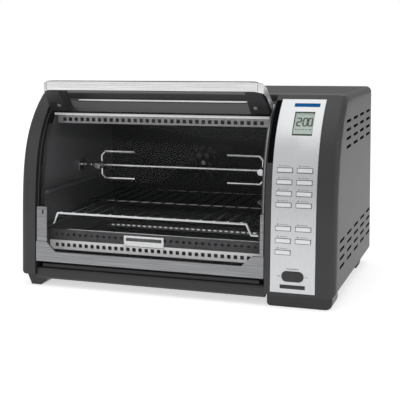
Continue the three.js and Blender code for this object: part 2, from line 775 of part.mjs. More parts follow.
function doorBottomTrim() {
  const sheet = frontSheet(
    DOOR_LEFT, DOOR_RIGHT, TRIM_BOTTOM, TRIM_END_TOP, TRIM_INSET, GLASS_INSET - GAP, 6,
  );
  const outline = [
    [DOOR_LEFT - 1, TRIM_BOTTOM - 1],
    [DOOR_RIGHT + 1, TRIM_BOTTOM - 1],
    [DOOR_RIGHT + 1, TRIM_END_TOP + 1],
    [DOOR_RIGHT - TRIM_END_WIDTH, TRIM_END_TOP + 1],
    [DOOR_RIGHT - TRIM_END_WIDTH - TRIM_CHAMFER, TRIM_MIDDLE_TOP],
    [DOOR_LEFT + TRIM_END_WIDTH + TRIM_CHAMFER, TRIM_MIDDLE_TOP],
    [DOOR_LEFT + TRIM_END_WIDTH, TRIM_END_TOP + 1],
    [DOOR_LEFT - 1, TRIM_END_TOP + 1],
  ];
  return sheet.intersect(extrudeY(outline, FRONT_Y - 10, FRONT_Y + 40));
}

function doorSideStrip(x0, x1, height) {
  const bottom = TRIM_END_TOP + GAP;
  return frontSheet(x0, x1, bottom, bottom + height, TRIM_INSET + 1, GLASS_INSET - GAP, 5);
}

// The rail under the glass, with the hinge pins at its ends.
function doorLowerRail() {
  const front = frontDepthAt(GLASS_BOTTOM, GLASS_INSET) + GAP;
  const bar = box(
    DOOR_LEFT + 1, DOOR_RIGHT - 1, front, front + RAIL_DEPTH, TRIM_BOTTOM + 1, GLASS_BOTTOM - GAP,
  );
  const leftPin = rod(
    [DOOR_LEFT - PIN_REACH, HINGE_Y, HINGE_Z], [DOOR_LEFT + 4, HINGE_Y, HINGE_Z], PIN_RADIUS, 16,
  );
  const rightPin = rod([DOOR_RIGHT - 4, HINGE_Y, HINGE_Z], [DOOR_RIGHT + PIN_REACH, HINGE_Y, HINGE_Z],
    PIN_RADIUS, 16);
  return join([bar, leftPin, rightPin]);
}

// Centre line of the handle: straight across, then back and down to the glass at both ends.
function handlePath() {
  const at = (x, share) => new THREE.Vector3(
    x, HANDLE_Y + HANDLE_BACK * share, HANDLE_Z - HANDLE_DROP * share,
  );
  const left = DOOR_LEFT + HANDLE_END_INSET;
  const right = DOOR_RIGHT - HANDLE_END_INSET;
  const corner = HANDLE_SPLAY + 1;
  const bar = corner + HANDLE_TURN;
  const share = HANDLE_TURN_SHARE;
  const path = new THREE.CurvePath();
  path.add(new THREE.LineCurve3(at(left, 1.1), at(left + HANDLE_SPLAY, share)));
  path.add(new THREE.QuadraticBezierCurve3(at(left + HANDLE_SPLAY, share), at(left + corner, 0),
    at(left + bar, 0)));
  path.add(new THREE.LineCurve3(at(left + bar, 0), at(right - bar, 0)));
  path.add(new THREE.QuadraticBezierCurve3(at(right - bar, 0), at(right - corner, 0),
    at(right - HANDLE_SPLAY, share)));
  path.add(new THREE.LineCurve3(at(right - HANDLE_SPLAY, share), at(right, 1.1)));
  return path;
}

// A bracket under one end of the bar, from its side outline and its front outline.
function handleBracket(side, x, towards) {
  const top = HANDLE_Z + HANDLE_HEIGHT / 2 - 1;
  const front = [
    [x + towards * 6, BRACKET_BOTTOM - 1],
    [x + towards * BRACKET_WIDTH, BRACKET_BOTTOM - 1],
    [x + towards * BRACKET_WIDTH, top - 12],
    [x + towards * (BRACKET_WIDTH - 8), top],
    [x + towards * (HANDLE_END_INSET + HANDLE_TURN), top],
    [x + towards * HANDLE_END_INSET, HANDLE_Z - 6],
    [x + towards * 7, HANDLE_Z - HANDLE_DROP + 2],
  ];
  const outline = towards > 0 ? front : front.reverse();
  return extrudeX(side.slice().reverse(), x - 50, x + 50).intersect(extrudeY(outline, FRONT_Y, 0));
}

const HANDLE_STEPS = 60;

function doorHandle() {
  const half = HANDLE_DEPTH / 2;
  const tall = HANDLE_HEIGHT / 2;
  const section = [[-half, -tall + 4], [-half + 4, -tall], [half, -tall], [half, tall], [-half + 4, tall],
    [-half, tall - 4]];
  const bar = uprightSweep(section, handlePath(), HANDLE_STEPS);
  const foot = frontCurve(BRACKET_BOTTOM, GLASS_TOP - 4, GLASS_INSET - GAP, 4);
  const outline = [
    ...foot,
    [HANDLE_Y + HANDLE_BACK * 0.74, HANDLE_Z - 8],
    [HANDLE_Y + 4, HANDLE_Z + tall - 1],
    [HANDLE_Y - half + 2, HANDLE_Z],
    [HANDLE_Y - half + 2, HANDLE_Z - tall],
    [HANDLE_Y + HANDLE_BACK * 0.4, BRACKET_BOTTOM + 17],
  ];
  const leftBracket = handleBracket(outline, DOOR_LEFT, 1);
  const rightBracket = handleBracket(outline, DOOR_RIGHT, -1);
  const keepClear = [[half, -tall - 2], [half + 14, -tall - 2], [half + 14, tall + 2], [half, tall + 2]];
  const outside = uprightSweep(keepClear, handlePath(), HANDLE_STEPS);
  const body = join([bar, leftBracket, rightBracket]).subtract(outside);
  return body.intersect(inFrontOf(GLASS_INSET - GAP));
}

function handleBand() {
  const back = HANDLE_DEPTH / 2 + GAP;
  const tall = HANDLE_HEIGHT / 2 - 0.8;
  const section = [[back, -tall], [back + BAND_THICK, -tall], [back + BAND_THICK, tall], [back, tall]];
  const band = uprightSweep(section, handlePath(), HANDLE_STEPS);
  return band.intersect(inFrontOf(GLASS_INSET - GAP));
}

// ---------------------------------------------------------------- cavity

function sideWall(x0, x1, towards) {
  const front = frontCurve(WALL_BOTTOM, CAVITY_TOP - GAP, WALL_INSET, 14);
  const wall = extrudeX(
    [...front, [CAVITY_BACK - GAP, CAVITY_TOP - GAP], [CAVITY_BACK - GAP, WALL_BOTTOM]], x0, x1,
  );
  const face = towards > 0 ? x1 : x0;
  const rails = RAIL_LEVELS.map((z) => {
    const outline = [
      [face - towards * 0.5, z - 7],
      [face + towards * RAIL_REACH, z - 1.5],
      [face + towards * RAIL_REACH, z + 1.5],
      [face - towards * 0.5, z + 1.5],
    ];
    const points = towards > 0 ? outline : outline.reverse();
    return extrudeY(points, RACK_FRONT + 3, CAVITY_BACK - 8);
  });
  const inner = face + towards * LEDGE_WIDTH;
  const ledge = box(Math.min(face - towards * 0.5, inner), Math.max(face - towards * 0.5, inner),
    FRONT_Y + WALL_INSET + 4, CAVITY_BACK - 8, WALL_BOTTOM, WALL_BOTTOM + CAVITY_WALL);
  return join([wall, ...rails, ledge]);
}

function cavityRightWall() {
  const wall = sideWall(CAVITY_RIGHT, CAVITY_RIGHT + CAVITY_WALL, -1);
  const hole = rod(
    [CAVITY_RIGHT - 5, SPIT_Y, SPIT_Z], [CAVITY_RIGHT + 5, SPIT_Y, SPIT_Z], SOCKET_RADIUS + 0.6,
    20,
  );
  return wall.subtract(hole);
}

function cavityCeiling() {
  const front = frontDepthAt(CAVITY_TOP + CAVITY_WALL, HEADER_INSET + 2) + 2;
  return box(CAVITY_LEFT - CAVITY_WALL, CAVITY_RIGHT + CAVITY_WALL, front, CAVITY_BACK + CAVITY_WALL,
    CAVITY_TOP, CAVITY_TOP + CAVITY_WALL);
}

function cavityBackWall() {
  const plate = box(
    CAVITY_LEFT - CAVITY_WALL, CAVITY_RIGHT + CAVITY_WALL, CAVITY_BACK, CAVITY_BACK + CAVITY_WALL,
    TRAY_BOTTOM + TRAY_HEIGHT + 2, CAVITY_TOP - GAP,
  );
  return plate.subtract(
    rod([CAVITY_CENTRE, CAVITY_BACK - 5, FAN_Z], [CAVITY_CENTRE, CAVITY_BACK + 5, FAN_Z], FAN_OPENING, 28),
  );
}

// A plate across the cavity with a row of square holes, which stand on a corner if turned.
function guard(y, bottom, height, holeSize = HOLE_SIZE, turned = false) {
  const left = CAVITY_LEFT + GUARD_SIDE_GAP;
  const right = CAVITY_RIGHT - GUARD_SIDE_GAP;
  const count = Math.floor((right - left - HOLE_PITCH) / HOLE_PITCH);
  const first = (left + right) / 2 - ((count - 1) * HOLE_PITCH) / 2;
  const middle = bottom + height / 2;
  const half = holeSize / 2;
  const holes = [];
  for (let i = 0; i < count; i += 1) {
    const x = first + i * HOLE_PITCH;
    const hole = box(-half, half, y - 1, y + GUARD_THICK + 1, -half, half);
    holes.push((turned ? hole.rotate([0, 45, 0]) : hole).translate([x, 0, middle]));
  }
  return box(left, right, y, y + GUARD_THICK, bottom, bottom + height).subtract(join(holes));
}

const UPPER_GUARD_BOTTOM = CAVITY_TOP - UPPER_GUARD_DROP - UPPER_GUARD_HEIGHT;
const LOWER_GUARD_Y = FRONT_Y + LOWER_GUARD_SETBACK;
const BAFFLE_BOTTOM = LOWER_GUARD_BOTTOM + LOWER_GUARD_HEIGHT + 1;

// A U-shaped rod: two legs along X joined at the left by a bend.
function heater(z) {
  const left = CAVITY_LEFT + 12;
  const right = CAVITY_RIGHT + CAVITY_WALL - 2;
  const path = new THREE.CurvePath();
  const at = (x, y) => new THREE.Vector3(x, y, z);
  const bend = left + HEATER_TURN;
  path.add(new THREE.LineCurve3(at(right, HEATER_FRONT_Y), at(bend, HEATER_FRONT_Y)));
  path.add(new THREE.QuadraticBezierCurve3(at(bend, HEATER_FRONT_Y), at(left, HEATER_FRONT_Y),
    at(left, HEATER_FRONT_Y + HEATER_TURN)));
  path.add(
    new THREE.LineCurve3(at(left, HEATER_FRONT_Y + HEATER_TURN), at(left, HEATER_REAR_Y - HEATER_TURN)),
  );
  path.add(new THREE.QuadraticBezierCurve3(at(left, HEATER_REAR_Y - HEATER_TURN), at(left, HEATER_REAR_Y),
    at(bend, HEATER_REAR_Y)));
  path.add(new THREE.LineCurve3(at(bend, HEATER_REAR_Y), at(right, HEATER_REAR_Y)));
  const ring = [];
  for (let i = 0; i < 6; i += 1) {
    const angle = (i / 6) * 2 * Math.PI;
    ring.push([HEATER_RADIUS * Math.cos(angle), HEATER_RADIUS * Math.sin(angle)]);
  }
  const geometry = new THREE.ExtrudeGeometry(
    shapeOf(ring), { steps: 40, bevelEnabled: false, extrudePath: path },
  );
  return solidOf(geometry).intersect(slab(-FAR, CAVITY_RIGHT - GAP));
}

// ---------------------------------------------------------------- rotisserie

const SPIT_LEFT = CAVITY_LEFT + 0.8;
const SOCKET_LEFT = CAVITY_RIGHT - SOCKET_LENGTH + 4;
const SPIT_RIGHT = SOCKET_LEFT + 12;
const MOTOR_LEFT = CAVITY_RIGHT + CAVITY_WALL + 5;

function spitRod() {
  const profile = [
    [0, SPIT_LEFT],
    [SPIT_RADIUS - 0.8, SPIT_LEFT],
    [SPIT_RADIUS, SPIT_LEFT + 1],
    [SPIT_RADIUS, SPIT_RIGHT - 6],
    [0.8, SPIT_RIGHT],
    [0, SPIT_RIGHT],
  ].map(([radius, x]) => new THREE.Vector2(radius, x));
  const geometry = new THREE.LatheGeometry(profile, 12);
  return placed(geometry, Y, X, Z.clone().negate(), new THREE.Vector3(0, SPIT_Y, SPIT_Z));
}

function spitFork(x, direction) {
  const hub = rod([x - FORK_HUB_LENGTH / 2, SPIT_Y, SPIT_Z], [x + FORK_HUB_LENGTH / 2, SPIT_Y, SPIT_Z],
    FORK_HUB_RADIUS, 16);
  const pieces = [hub];
  for (const side of [-1, 1]) {
    const tip = SPIT_Z + side * FORK_HALF_SPAN;
    const bend = x + direction * FORK_BEND;
    const shoulder = tip - side * FORK_BEND;
    pieces.push(rod([x, SPIT_Y, SPIT_Z + side * 4], [x, SPIT_Y, shoulder], FORK_TINE_RADIUS));
    pieces.push(rod([x, SPIT_Y, shoulder], [bend, SPIT_Y, tip], FORK_TINE_RADIUS));
    for (const [cx, cz] of [[x, shoulder], [bend, tip]]) {
      pieces.push(ball([cx, SPIT_Y, cz], FORK_TINE_RADIUS * 1.05));
    }
    pieces.push(
      rod([bend, SPIT_Y, tip], [bend + direction * FORK_TINE_LENGTH, SPIT_Y, tip], FORK_TINE_RADIUS),
    );
  }
  pieces.push(rod([x, SPIT_Y - 18, SPIT_Z], [x, SPIT_Y, SPIT_Z], 2.5));
  pieces.push(rod([x, SPIT_Y - 22, SPIT_Z], [x, SPIT_Y - 17, SPIT_Z], 6, 12));
  const bore = rod([x - 20, SPIT_Y, SPIT_Z], [x + 20, SPIT_Y, SPIT_Z], SPIT_RADIUS + GAP, 16);
  return join(pieces).subtract(bore);
}

function spitDriveSocket() {
  const outer = rod([SOCKET_LEFT, SPIT_Y, SPIT_Z], [CAVITY_RIGHT + CAVITY_WALL + 3, SPIT_Y, SPIT_Z],
    SOCKET_RADIUS, 20);
  const stub = rod(
    [CAVITY_RIGHT, SPIT_Y, SPIT_Z], [MOTOR_LEFT + 8, SPIT_Y, SPIT_Z], DRIVE_SHAFT_RADIUS, 12,
  );
  const bore = rod(
    [SOCKET_LEFT - 1, SPIT_Y, SPIT_Z], [SPIT_RIGHT + 1, SPIT_Y, SPIT_Z], SPIT_RADIUS + GAP, 16,
  );
  return outer.add(stub).subtract(bore);
}

function spitMotor() {
  const can = rod([MOTOR_LEFT, SPIT_Y, SPIT_Z], [MOTOR_LEFT + 24, SPIT_Y, SPIT_Z], 24, 24);
  const plate = box(MOTOR_LEFT, MOTOR_LEFT + 2, SPIT_Y - 32, SPIT_Y + 32, SPIT_Z - 12, SPIT_Z + 12);
  const bore = rod([MOTOR_LEFT - 1, SPIT_Y, SPIT_Z], [MOTOR_LEFT + 10, SPIT_Y, SPIT_Z],
    DRIVE_SHAFT_RADIUS + GAP, 16);
  return can.add(plate).subtract(bore);
}

// A hook on the left wall that the spit's end lies in.
function spitSupport() {
  const radius = SPIT_RADIUS + GAP;
  const points = [[SPIT_Y - 10, SPIT_Z + 7], [SPIT_Y - 10, SPIT_Z - 12], [SPIT_Y + 12, SPIT_Z - 12],
    [SPIT_Y + 12, SPIT_Z + 11], [SPIT_Y + radius, SPIT_Z + 7]];
  for (let i = 0; i <= 8; i += 1) {
    const angle = -(i / 8) * Math.PI;
    points.push([SPIT_Y + radius * Math.cos(angle), SPIT_Z + radius * Math.sin(angle)]);
  }
  points.push([SPIT_Y - radius, SPIT_Z + 7]);
  return extrudeX(points, CAVITY_LEFT + GAP, CAVITY_LEFT + 5);
}

// ---------------------------------------------------------------- rack and tray

function wireRack() {
  const low = RAIL_LEVELS[0] + 1.5 + GAP + RUNNER_RADIUS;
  const high = low + RACK_RISE;
  const left = CAVITY_LEFT + RACK_SIDE_GAP + RUNNER_RADIUS;
  const right = CAVITY_RIGHT - RACK_SIDE_GAP - RUNNER_RADIUS;
  const shoulder = RACK_FOOT + RACK_SLOPE;
  const pieces = [];
  for (const x of [left, right]) {
    pieces.push(rod([x, RACK_FRONT, low], [x, RACK_BACK, low], RUNNER_RADIUS));
  }
  for (const y of [RACK_FRONT, (RACK_FRONT + RACK_BACK) / 2, RACK_BACK]) {
    const corners = [
      [left, y, low],
      [left + RACK_FOOT, y, low],
      [left + shoulder, y, high],
      [right - shoulder, y, high],
      [right - RACK_FOOT, y, low],
      [right, y, low],
    ];
    corners.forEach((corner, i) => {
      if (i > 0) pieces.push(rod(corners[i - 1], corner, RUNNER_RADIUS));
      pieces.push(ball(corner, RUNNER_RADIUS * 1.02));
    });
  }
  const span = right - left - 2 * (shoulder + RACK_WIRE_MARGIN);
  for (let i = 0; i < RACK_WIRES; i += 1) {
    const x = left + shoulder + RACK_WIRE_MARGIN + (span * i) / (RACK_WIRES - 1);
    const z = high + RUNNER_RADIUS - RACK_WIRE_RADIUS * 0.4;
    pieces.push(rod([x, RACK_FRONT - 1.5, z], [x, RACK_BACK + 1.5, z], RACK_WIRE_RADIUS, 6));
  }
  return join(pieces);
}

function crumbTray() {
  const left = CAVITY_LEFT + 2 * GAP;
  const right = CAVITY_RIGHT - 2 * GAP;
  const top = TRAY_BOTTOM + TRAY_HEIGHT;
  const block = box(left, right, TRAY_FRONT, TRAY_BACK, TRAY_BOTTOM, top);
  const hollow = box(
    left + TRAY_SHEET, right - TRAY_SHEET, TRAY_FRONT + TRAY_SHEET, TRAY_BACK - TRAY_SHEET,
    TRAY_BOTTOM + TRAY_SHEET, top + 1,
  );
  return block.subtract(hollow);
}

// ---------------------------------------------------------------- fan

const FAN_Y = CAVITY_BACK + CAVITY_WALL + 2;
const FAN_MOTOR_Y = FAN_Y + FAN_BLADE_DEPTH + 5;

function fanGuard() {
  const y = CAVITY_BACK - GAP - GUARD_THICK;
  const disc = rod(
    [CAVITY_CENTRE, y, FAN_Z], [CAVITY_CENTRE, y + GUARD_THICK, FAN_Z], FAN_OPENING + 6, 40,
  );
  const holes = [];
  for (const [count, radius] of [[1, 0], [6, 16], [12, 31]]) {
    for (let i = 0; i < count; i += 1) {
      const angle = (i / count) * 2 * Math.PI;
      const x = CAVITY_CENTRE + radius * Math.cos(angle);
      const z = FAN_Z + radius * Math.sin(angle);
      holes.push(rod([x, y - 1, z], [x, y + GUARD_THICK + 1, z], 5));
    }
  }
  return disc.subtract(join(holes));
}

function convectionFan() {
  const hub = rod([CAVITY_CENTRE, FAN_Y, FAN_Z], [CAVITY_CENTRE, FAN_Y + FAN_BLADE_DEPTH, FAN_Z], 12, 20);
  const pieces = [hub];
  for (let i = 0; i < FAN_BLADES; i += 1) {
    const blade = new THREE.BoxGeometry(FAN_RADIUS - 8, 1.6, FAN_BLADE_DEPTH - 1);
    blade.rotateX(0.6);
    blade.translate(8 + (FAN_RADIUS - 8) / 2, 0, 0);
    blade.rotateZ((i / FAN_BLADES) * 2 * Math.PI);
    blade.rotateX(Math.PI / 2);
    blade.translate(CAVITY_CENTRE, FAN_Y + FAN_BLADE_DEPTH / 2, FAN_Z);
    pieces.push(solidOf(blade));
  }
  pieces.push(
    rod([CAVITY_CENTRE, FAN_Y + 2, FAN_Z], [CAVITY_CENTRE, FAN_MOTOR_Y + 8, FAN_Z], FAN_SHAFT_RADIUS, 12),
  );
  return join(pieces);
}

function fanMotor() {
  const can = rod(
    [CAVITY_CENTRE, FAN_MOTOR_Y, FAN_Z], [CAVITY_CENTRE, FAN_MOTOR_Y + FAN_MOTOR_DEPTH, FAN_Z],
    FAN_MOTOR_RADIUS, 24,
  );
  const bore = rod([CAVITY_CENTRE, FAN_MOTOR_Y - 1, FAN_Z], [CAVITY_CENTRE, FAN_MOTOR_Y + 10, FAN_Z],
    FAN_SHAFT_RADIUS + GAP, 16);
  return can.subtract(bore);
}

// ---------------------------------------------------------------- cord gland

const GLAND_X = COLUMN_X + COLUMN_WIDTH / 2;
const GLAND_Z = 60;
const GLAND_RADIUS = 9;

function cordGland() {
  const y = BACK_Y - COVER_SHEET;
  const body = rod([GLAND_X, y - 12, GLAND_Z], [GLAND_X, BACK_Y - GAP, GLAND_Z], GLAND_RADIUS, 20);
  const flange = rod([GLAND_X, y - 4, GLAND_Z], [GLAND_X, y - GAP, GLAND_Z], GLAND_RADIUS + 3, 20);
  const bore = rod([GLAND_X, y - 13, GLAND_Z], [GLAND_X, BACK_Y + 1, GLAND_Z], 3.6, 16);
  return body.add(flange).subtract(bore);
}

// ---------------------------------------------------------------- assembly

add('base_pan', basePan(), 'enamel');
add('top_cover', topCover(), 'body');
add('right_side_panel', rightSidePanel(), 'body');
add('left_end_panel', leftEndPanel(), 'body');
add('rear_cover', rearCover(), 'body');
add('front_header', frontHeader(), 'body');
add('front_sill', frontSill(), 'dark');
add('left_front_foot', leftFrontFoot(), 'dark');
add('right_front_foot', rightFrontFoot(), 'dark');
add('left_rear_foot', rearFoot(-1), 'rubber');
add('right_rear_foot', rearFoot(1), 'rubber');

add('control_bezel', controlBezel(), 'body');
add('control_fascia', controlFascia(), 'fascia');
add('display_lens', displayLens(), 'lens');
add('lcd_module', lcdModule(), 'dark');
add('accent_bar', accentBar(), 'accent');
add('control_board', controlBoard(), 'board');
buttonPlaces().forEach(([x, z], index) => {
  add(`button_${String(index + 1).padStart(2, '0')}`, button(x, z), 'button');
});
add('power_rocker', powerRocker(), 'dark');

add('door_glass', doorGlass(), 'lens');
add('door_bottom_trim', doorBottomTrim(), 'steel');
add('door_lower_rail', doorLowerRail(), 'steel');
add('door_strip_left', doorSideStrip(DOOR_LEFT + 1, DOOR_LEFT + 1 + STRIP_WIDTH_LEFT, STRIP_HEIGHT_LEFT),
  'steel');
add(
  'door_strip_right',
  doorSideStrip(DOOR_RIGHT - 1 - STRIP_WIDTH_RIGHT, DOOR_RIGHT - 1, STRIP_HEIGHT_RIGHT), 'steel',
);
add('door_handle', doorHandle(), 'dark');
add('handle_band', handleBand(), 'bright');

add('cavity_left_wall', sideWall(CAVITY_LEFT - CAVITY_WALL, CAVITY_LEFT, 1), 'enamel');
add('cavity_right_wall', cavityRightWall(), 'enamel');
add('cavity_back_wall', cavityBackWall(), 'enamel');
add('cavity_ceiling', cavityCeiling(), 'enamel');
add('upper_guard', guard(FRONT_Y + UPPER_GUARD_SETBACK, UPPER_GUARD_BOTTOM, UPPER_GUARD_HEIGHT), 'steel');
add('lower_front_guard', guard(LOWER_GUARD_Y, LOWER_GUARD_BOTTOM, LOWER_GUARD_HEIGHT), 'chrome');
add('lower_baffle', guard(LOWER_GUARD_Y, BAFFLE_BOTTOM, BAFFLE_HEIGHT, BAFFLE_HOLE_SIZE, true), 'enamel');
add(
  'lower_rear_guard', guard(CAVITY_BACK - REAR_GUARD_MARGIN, REAR_GUARD_BOTTOM, REAR_GUARD_HEIGHT),
  'steel',
);
add('upper_heater', heater(CAVITY_TOP - UPPER_HEATER_DROP), 'steel');
add('lower_heater', heater(LOWER_HEATER_Z), 'steel');

add('spit_support', spitSupport(), 'chrome');
add('spit_rod', spitRod(), 'chrome');
add('spit_fork_left', spitFork(CAVITY_LEFT + LEFT_FORK_MARGIN, 1), 'chrome');
add('spit_fork_right', spitFork(CAVITY_RIGHT - RIGHT_FORK_MARGIN, -1), 'chrome');
add('spit_drive_socket', spitDriveSocket(), 'steel');
add('spit_motor', spitMotor(), 'steel');

add('wire_rack', wireRack(), 'chrome');
add('crumb_tray', crumbTray(), 'steel');

add('fan_guard', fanGuard(), 'enamel');
add('convection_fan', convectionFan(), 'steel');
add('fan_motor', fanMotor(), 'steel');
add('cord_gland', cordGland(), 'rubber');

export default oven;
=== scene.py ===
"""A countertop toaster oven with a rotisserie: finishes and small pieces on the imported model."""
import math

import bpy
from mathutils import Matrix, Vector


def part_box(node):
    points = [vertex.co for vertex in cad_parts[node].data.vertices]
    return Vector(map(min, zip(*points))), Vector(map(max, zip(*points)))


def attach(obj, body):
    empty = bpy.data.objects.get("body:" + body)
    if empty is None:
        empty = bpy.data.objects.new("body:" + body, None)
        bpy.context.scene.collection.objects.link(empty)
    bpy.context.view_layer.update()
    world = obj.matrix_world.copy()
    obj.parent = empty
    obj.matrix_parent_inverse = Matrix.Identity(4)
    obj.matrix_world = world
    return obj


bl_info = {
    "name": "Rotisserie toaster oven",
    "version": (1, 0, 0),
    "blender": (4, 5, 0),
    "location": "View3D > Sidebar > Oven",
    "description": "Finishes, fittings and stage for a curved-door countertop oven",
    "category": "Object",
}

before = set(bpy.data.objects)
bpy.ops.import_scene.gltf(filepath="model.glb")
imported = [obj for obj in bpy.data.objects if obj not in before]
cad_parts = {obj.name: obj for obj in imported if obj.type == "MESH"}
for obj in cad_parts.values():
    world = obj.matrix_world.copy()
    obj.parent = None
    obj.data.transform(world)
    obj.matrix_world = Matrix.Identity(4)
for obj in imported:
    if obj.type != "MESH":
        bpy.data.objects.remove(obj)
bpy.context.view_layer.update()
MM = 0.001


# ---------------------------------------------------------------- sizes and colours


class OvenSizes(bpy.types.PropertyGroup):
    """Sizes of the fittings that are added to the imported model."""

    edge: bpy.props.FloatProperty(
        name="Edge rounding", description="Rounding of moulded edges",
        default=0.9 * MM, unit="LENGTH")
    sheet_edge: bpy.props.FloatProperty(
        name="Sheet edge", description="Rounding of pressed sheet edges",
        default=0.3 * MM, unit="LENGTH")
    print_thickness: bpy.props.FloatProperty(
        name="Print thickness", description="Height of printed marks over the fascia",
        default=0.12 * MM, unit="LENGTH")
    screw_radius: bpy.props.FloatProperty(
        name="Screw head radius", description="Radius of the case screws' heads",
        default=3.4 * MM, unit="LENGTH")
    digit_height: bpy.props.FloatProperty(
        name="Digit height", description="Height of the clock digits",
        default=15 * MM, unit="LENGTH")
    frit_height: bpy.props.FloatProperty(
        name="Glass border", description="Height of the printed border at the top of the glass",
        default=17 * MM, unit="LENGTH")
    floor_size: bpy.props.FloatProperty(
        name="Floor", description="Half width of the stage floor",
        default=6.0, unit="LENGTH")


class OvenColours(bpy.types.PropertyGroup):
    """sRGB colours of the main finishes, as hex."""

    casing: bpy.props.StringProperty(
        name="Casing", description="Charcoal plastic and paint", default="#2d2d2f")
    black: bpy.props.StringProperty(
        name="Black plastic", description="Handle, sill and feet", default="#262628")
    fascia: bpy.props.StringProperty(
        name="Fascia", description="Brushed aluminium fascia", default="#d0d1d3")
    steel: bpy.props.StringProperty(
        name="Door steel", description="Brushed stainless trims", default="#8f9092")
    band: bpy.props.StringProperty(
        name="Handle band", description="Bright brushed band", default="#f4f4f5")
    # Painted light: the side walls take the non-stick coat lightened, standing in for light that
    # reaches them.
    enamel: bpy.props.StringProperty(
        name="Cavity sides", description="Non-stick coat of the side walls", default="#525254")
    # Painted shade: the back and ceiling take the same coat darkened.
    cavity_back_painted_shade: bpy.props.StringProperty(
        name="Cavity back", description="Non-stick coat of the back and ceiling", default="#131314")
    display: bpy.props.StringProperty(
        name="Display", description="Reflective display ground", default="#aebcb2")
    accent: bpy.props.StringProperty(
        name="Accent", description="Blue bar over the display", default="#00508c")


def sizes():
    return bpy.context.scene.oven_sizes


def colours():
    return bpy.context.scene.oven_colours


# ---------------------------------------------------------------- material helpers


def linear(code):
    """An sRGB hex code as linear red, green, blue and alpha."""
    channels = [int(code[i:i + 2], 16) / 255 for i in (1, 3, 5)]
    bent = [c / 12.92 if c <= 0.04045 else ((c + 0.055) / 1.055) ** 2.4 for c in channels]
    return (*bent, 1.0)


def add_node(material, kind, settings=None, links=None):
    """Adds a node, sets its properties and input values, and links its inputs."""
    tree = material.node_tree
    node = tree.nodes.new(kind)
    for key, value in (settings or {}).items():
        if isinstance(key, int) or key in node.inputs:
            node.inputs[key].default_value = value
        else:
            setattr(node, key, value)
    for key, source in (links or {}).items():
        tree.links.new(source, node.inputs[key])
    return node


def start_material(name, base, metallic, roughness, **settings):
    """A new material whose shader has its constant values set."""
    material = bpy.data.materials.new(name)
    material.use_nodes = True
    shader = material.node_tree.nodes["Principled BSDF"]
    shader.inputs["Base Color"].default_value = linear(base)
    shader.inputs["Metallic"].default_value = metallic
    shader.inputs["Roughness"].default_value = roughness
    for key, value in settings.items():
        shader.inputs[key].default_value = value
    return material, shader


def stretched_noise(material, cells, detail):
    """Noise on object coordinates whose cells have these lengths in metres along X, Y and Z."""
    place = add_node(material, "ShaderNodeTexCoord")
    scale = [1 / length for length in cells]
    scaled = add_node(
        material, "ShaderNodeMapping", {"Scale": scale}, {"Vector": place.outputs["Object"]})
    return add_node(material, "ShaderNodeTexNoise", {"Scale": 1.0, "Detail": detail},
                    {"Vector": scaled.outputs["Vector"]})


def vary_colour(material, shader, noise, dark, light, spread=0.25):
    """The base colour runs from dark to light over the noise."""
    ramp = add_node(material, "ShaderNodeValToRGB", {}, {"Fac": noise.outputs["Fac"]})
    ramp.color_ramp.elements[0].position = 0.5 - spread
    ramp.color_ramp.elements[1].position = 0.5 + spread
    ramp.color_ramp.elements[0].color = linear(dark)
    ramp.color_ramp.elements[1].color = linear(light)
    material.node_tree.links.new(ramp.outputs["Color"], shader.inputs["Base Color"])


def vary_roughness(material, shader, noise, low, high):
    """The roughness runs from low to high over the noise."""
    span = add_node(material, "ShaderNodeMapRange", {"To Min": low, "To Max": high},
                    {"Value": noise.outputs["Fac"]})
    material.node_tree.links.new(span.outputs["Result"], shader.inputs["Roughness"])


def add_bump(material, shader, noise, depth, strength):
    """The surface rises and falls by a depth over the noise."""
    bump = add_node(material, "ShaderNodeBump", {"Strength": strength, "Distance": depth},
                    {"Height": noise.outputs["Fac"]})
    material.node_tree.links.new(bump.outputs["Normal"], shader.inputs["Normal"])


def shade(code, factor):
    """A hex colour made lighter or darker by a factor."""
    channels = [min(255, round(int(code[i:i + 2], 16) * factor)) for i in (1, 3, 5)]
    return "#" + "".join(f"{c:02x}" for c in channels)


# ---------------------------------------------------------------- materials


def moulded_abs(name, base, roughness=0.42, grain=1.4 * MM):
    """Injection-moulded ABS: a fine spark-eroded grain that breaks up the highlight."""
    material, shader = start_material(name, base, 0.0, roughness, **{"Specular IOR Level": 0.45})
    noise = stretched_noise(material, (grain, grain, grain), 2.0)
    cloud = stretched_noise(material, (60 * MM, 60 * MM, 60 * MM), 4.0)
    vary_colour(material, shader, cloud, shade(base, 0.94), shade(base, 1.06))
    vary_roughness(material, shader, noise, roughness - 0.06, roughness + 0.08)
    add_bump(material, shader, noise, 0.05 * MM, 0.5)
    return material


def powder_coat(name, base):
    """Powder-coated sheet steel: an orange-peel surface with a soft sheen."""
    material, shader = start_material(name, base, 0.0, 0.5, **{"Specular IOR Level": 0.35})
    peel = stretched_noise(material, (2.2 * MM, 2.2 * MM, 2.2 * MM), 2.0)
    vary_colour(material, shader, peel, shade(base, 0.95), shade(base, 1.05))
    add_bump(material, shader, peel, 0.08 * MM, 0.5)
    return material


def brushed_metal(name, base, roughness, cells, contrast=0.1, depth=0.03 * MM, metallic=0.9):
    """Belt-brushed sheet: long fine scratches across which the highlight spreads.

    The real scratches are finer than 0.1 mm; they are drawn wider so that they show.
    """
    material, shader = start_material(name, base, metallic, roughness, Anisotropic=0.5)
    scratch = stretched_noise(material, cells, 5.0)
    vary_colour(material, shader, scratch, shade(base, 1 - contrast), shade(base, 1 + contrast / 2))
    vary_roughness(material, shader, scratch, roughness - 0.08, roughness + 0.14)
    add_bump(material, shader, scratch, depth, 0.6)
    return material


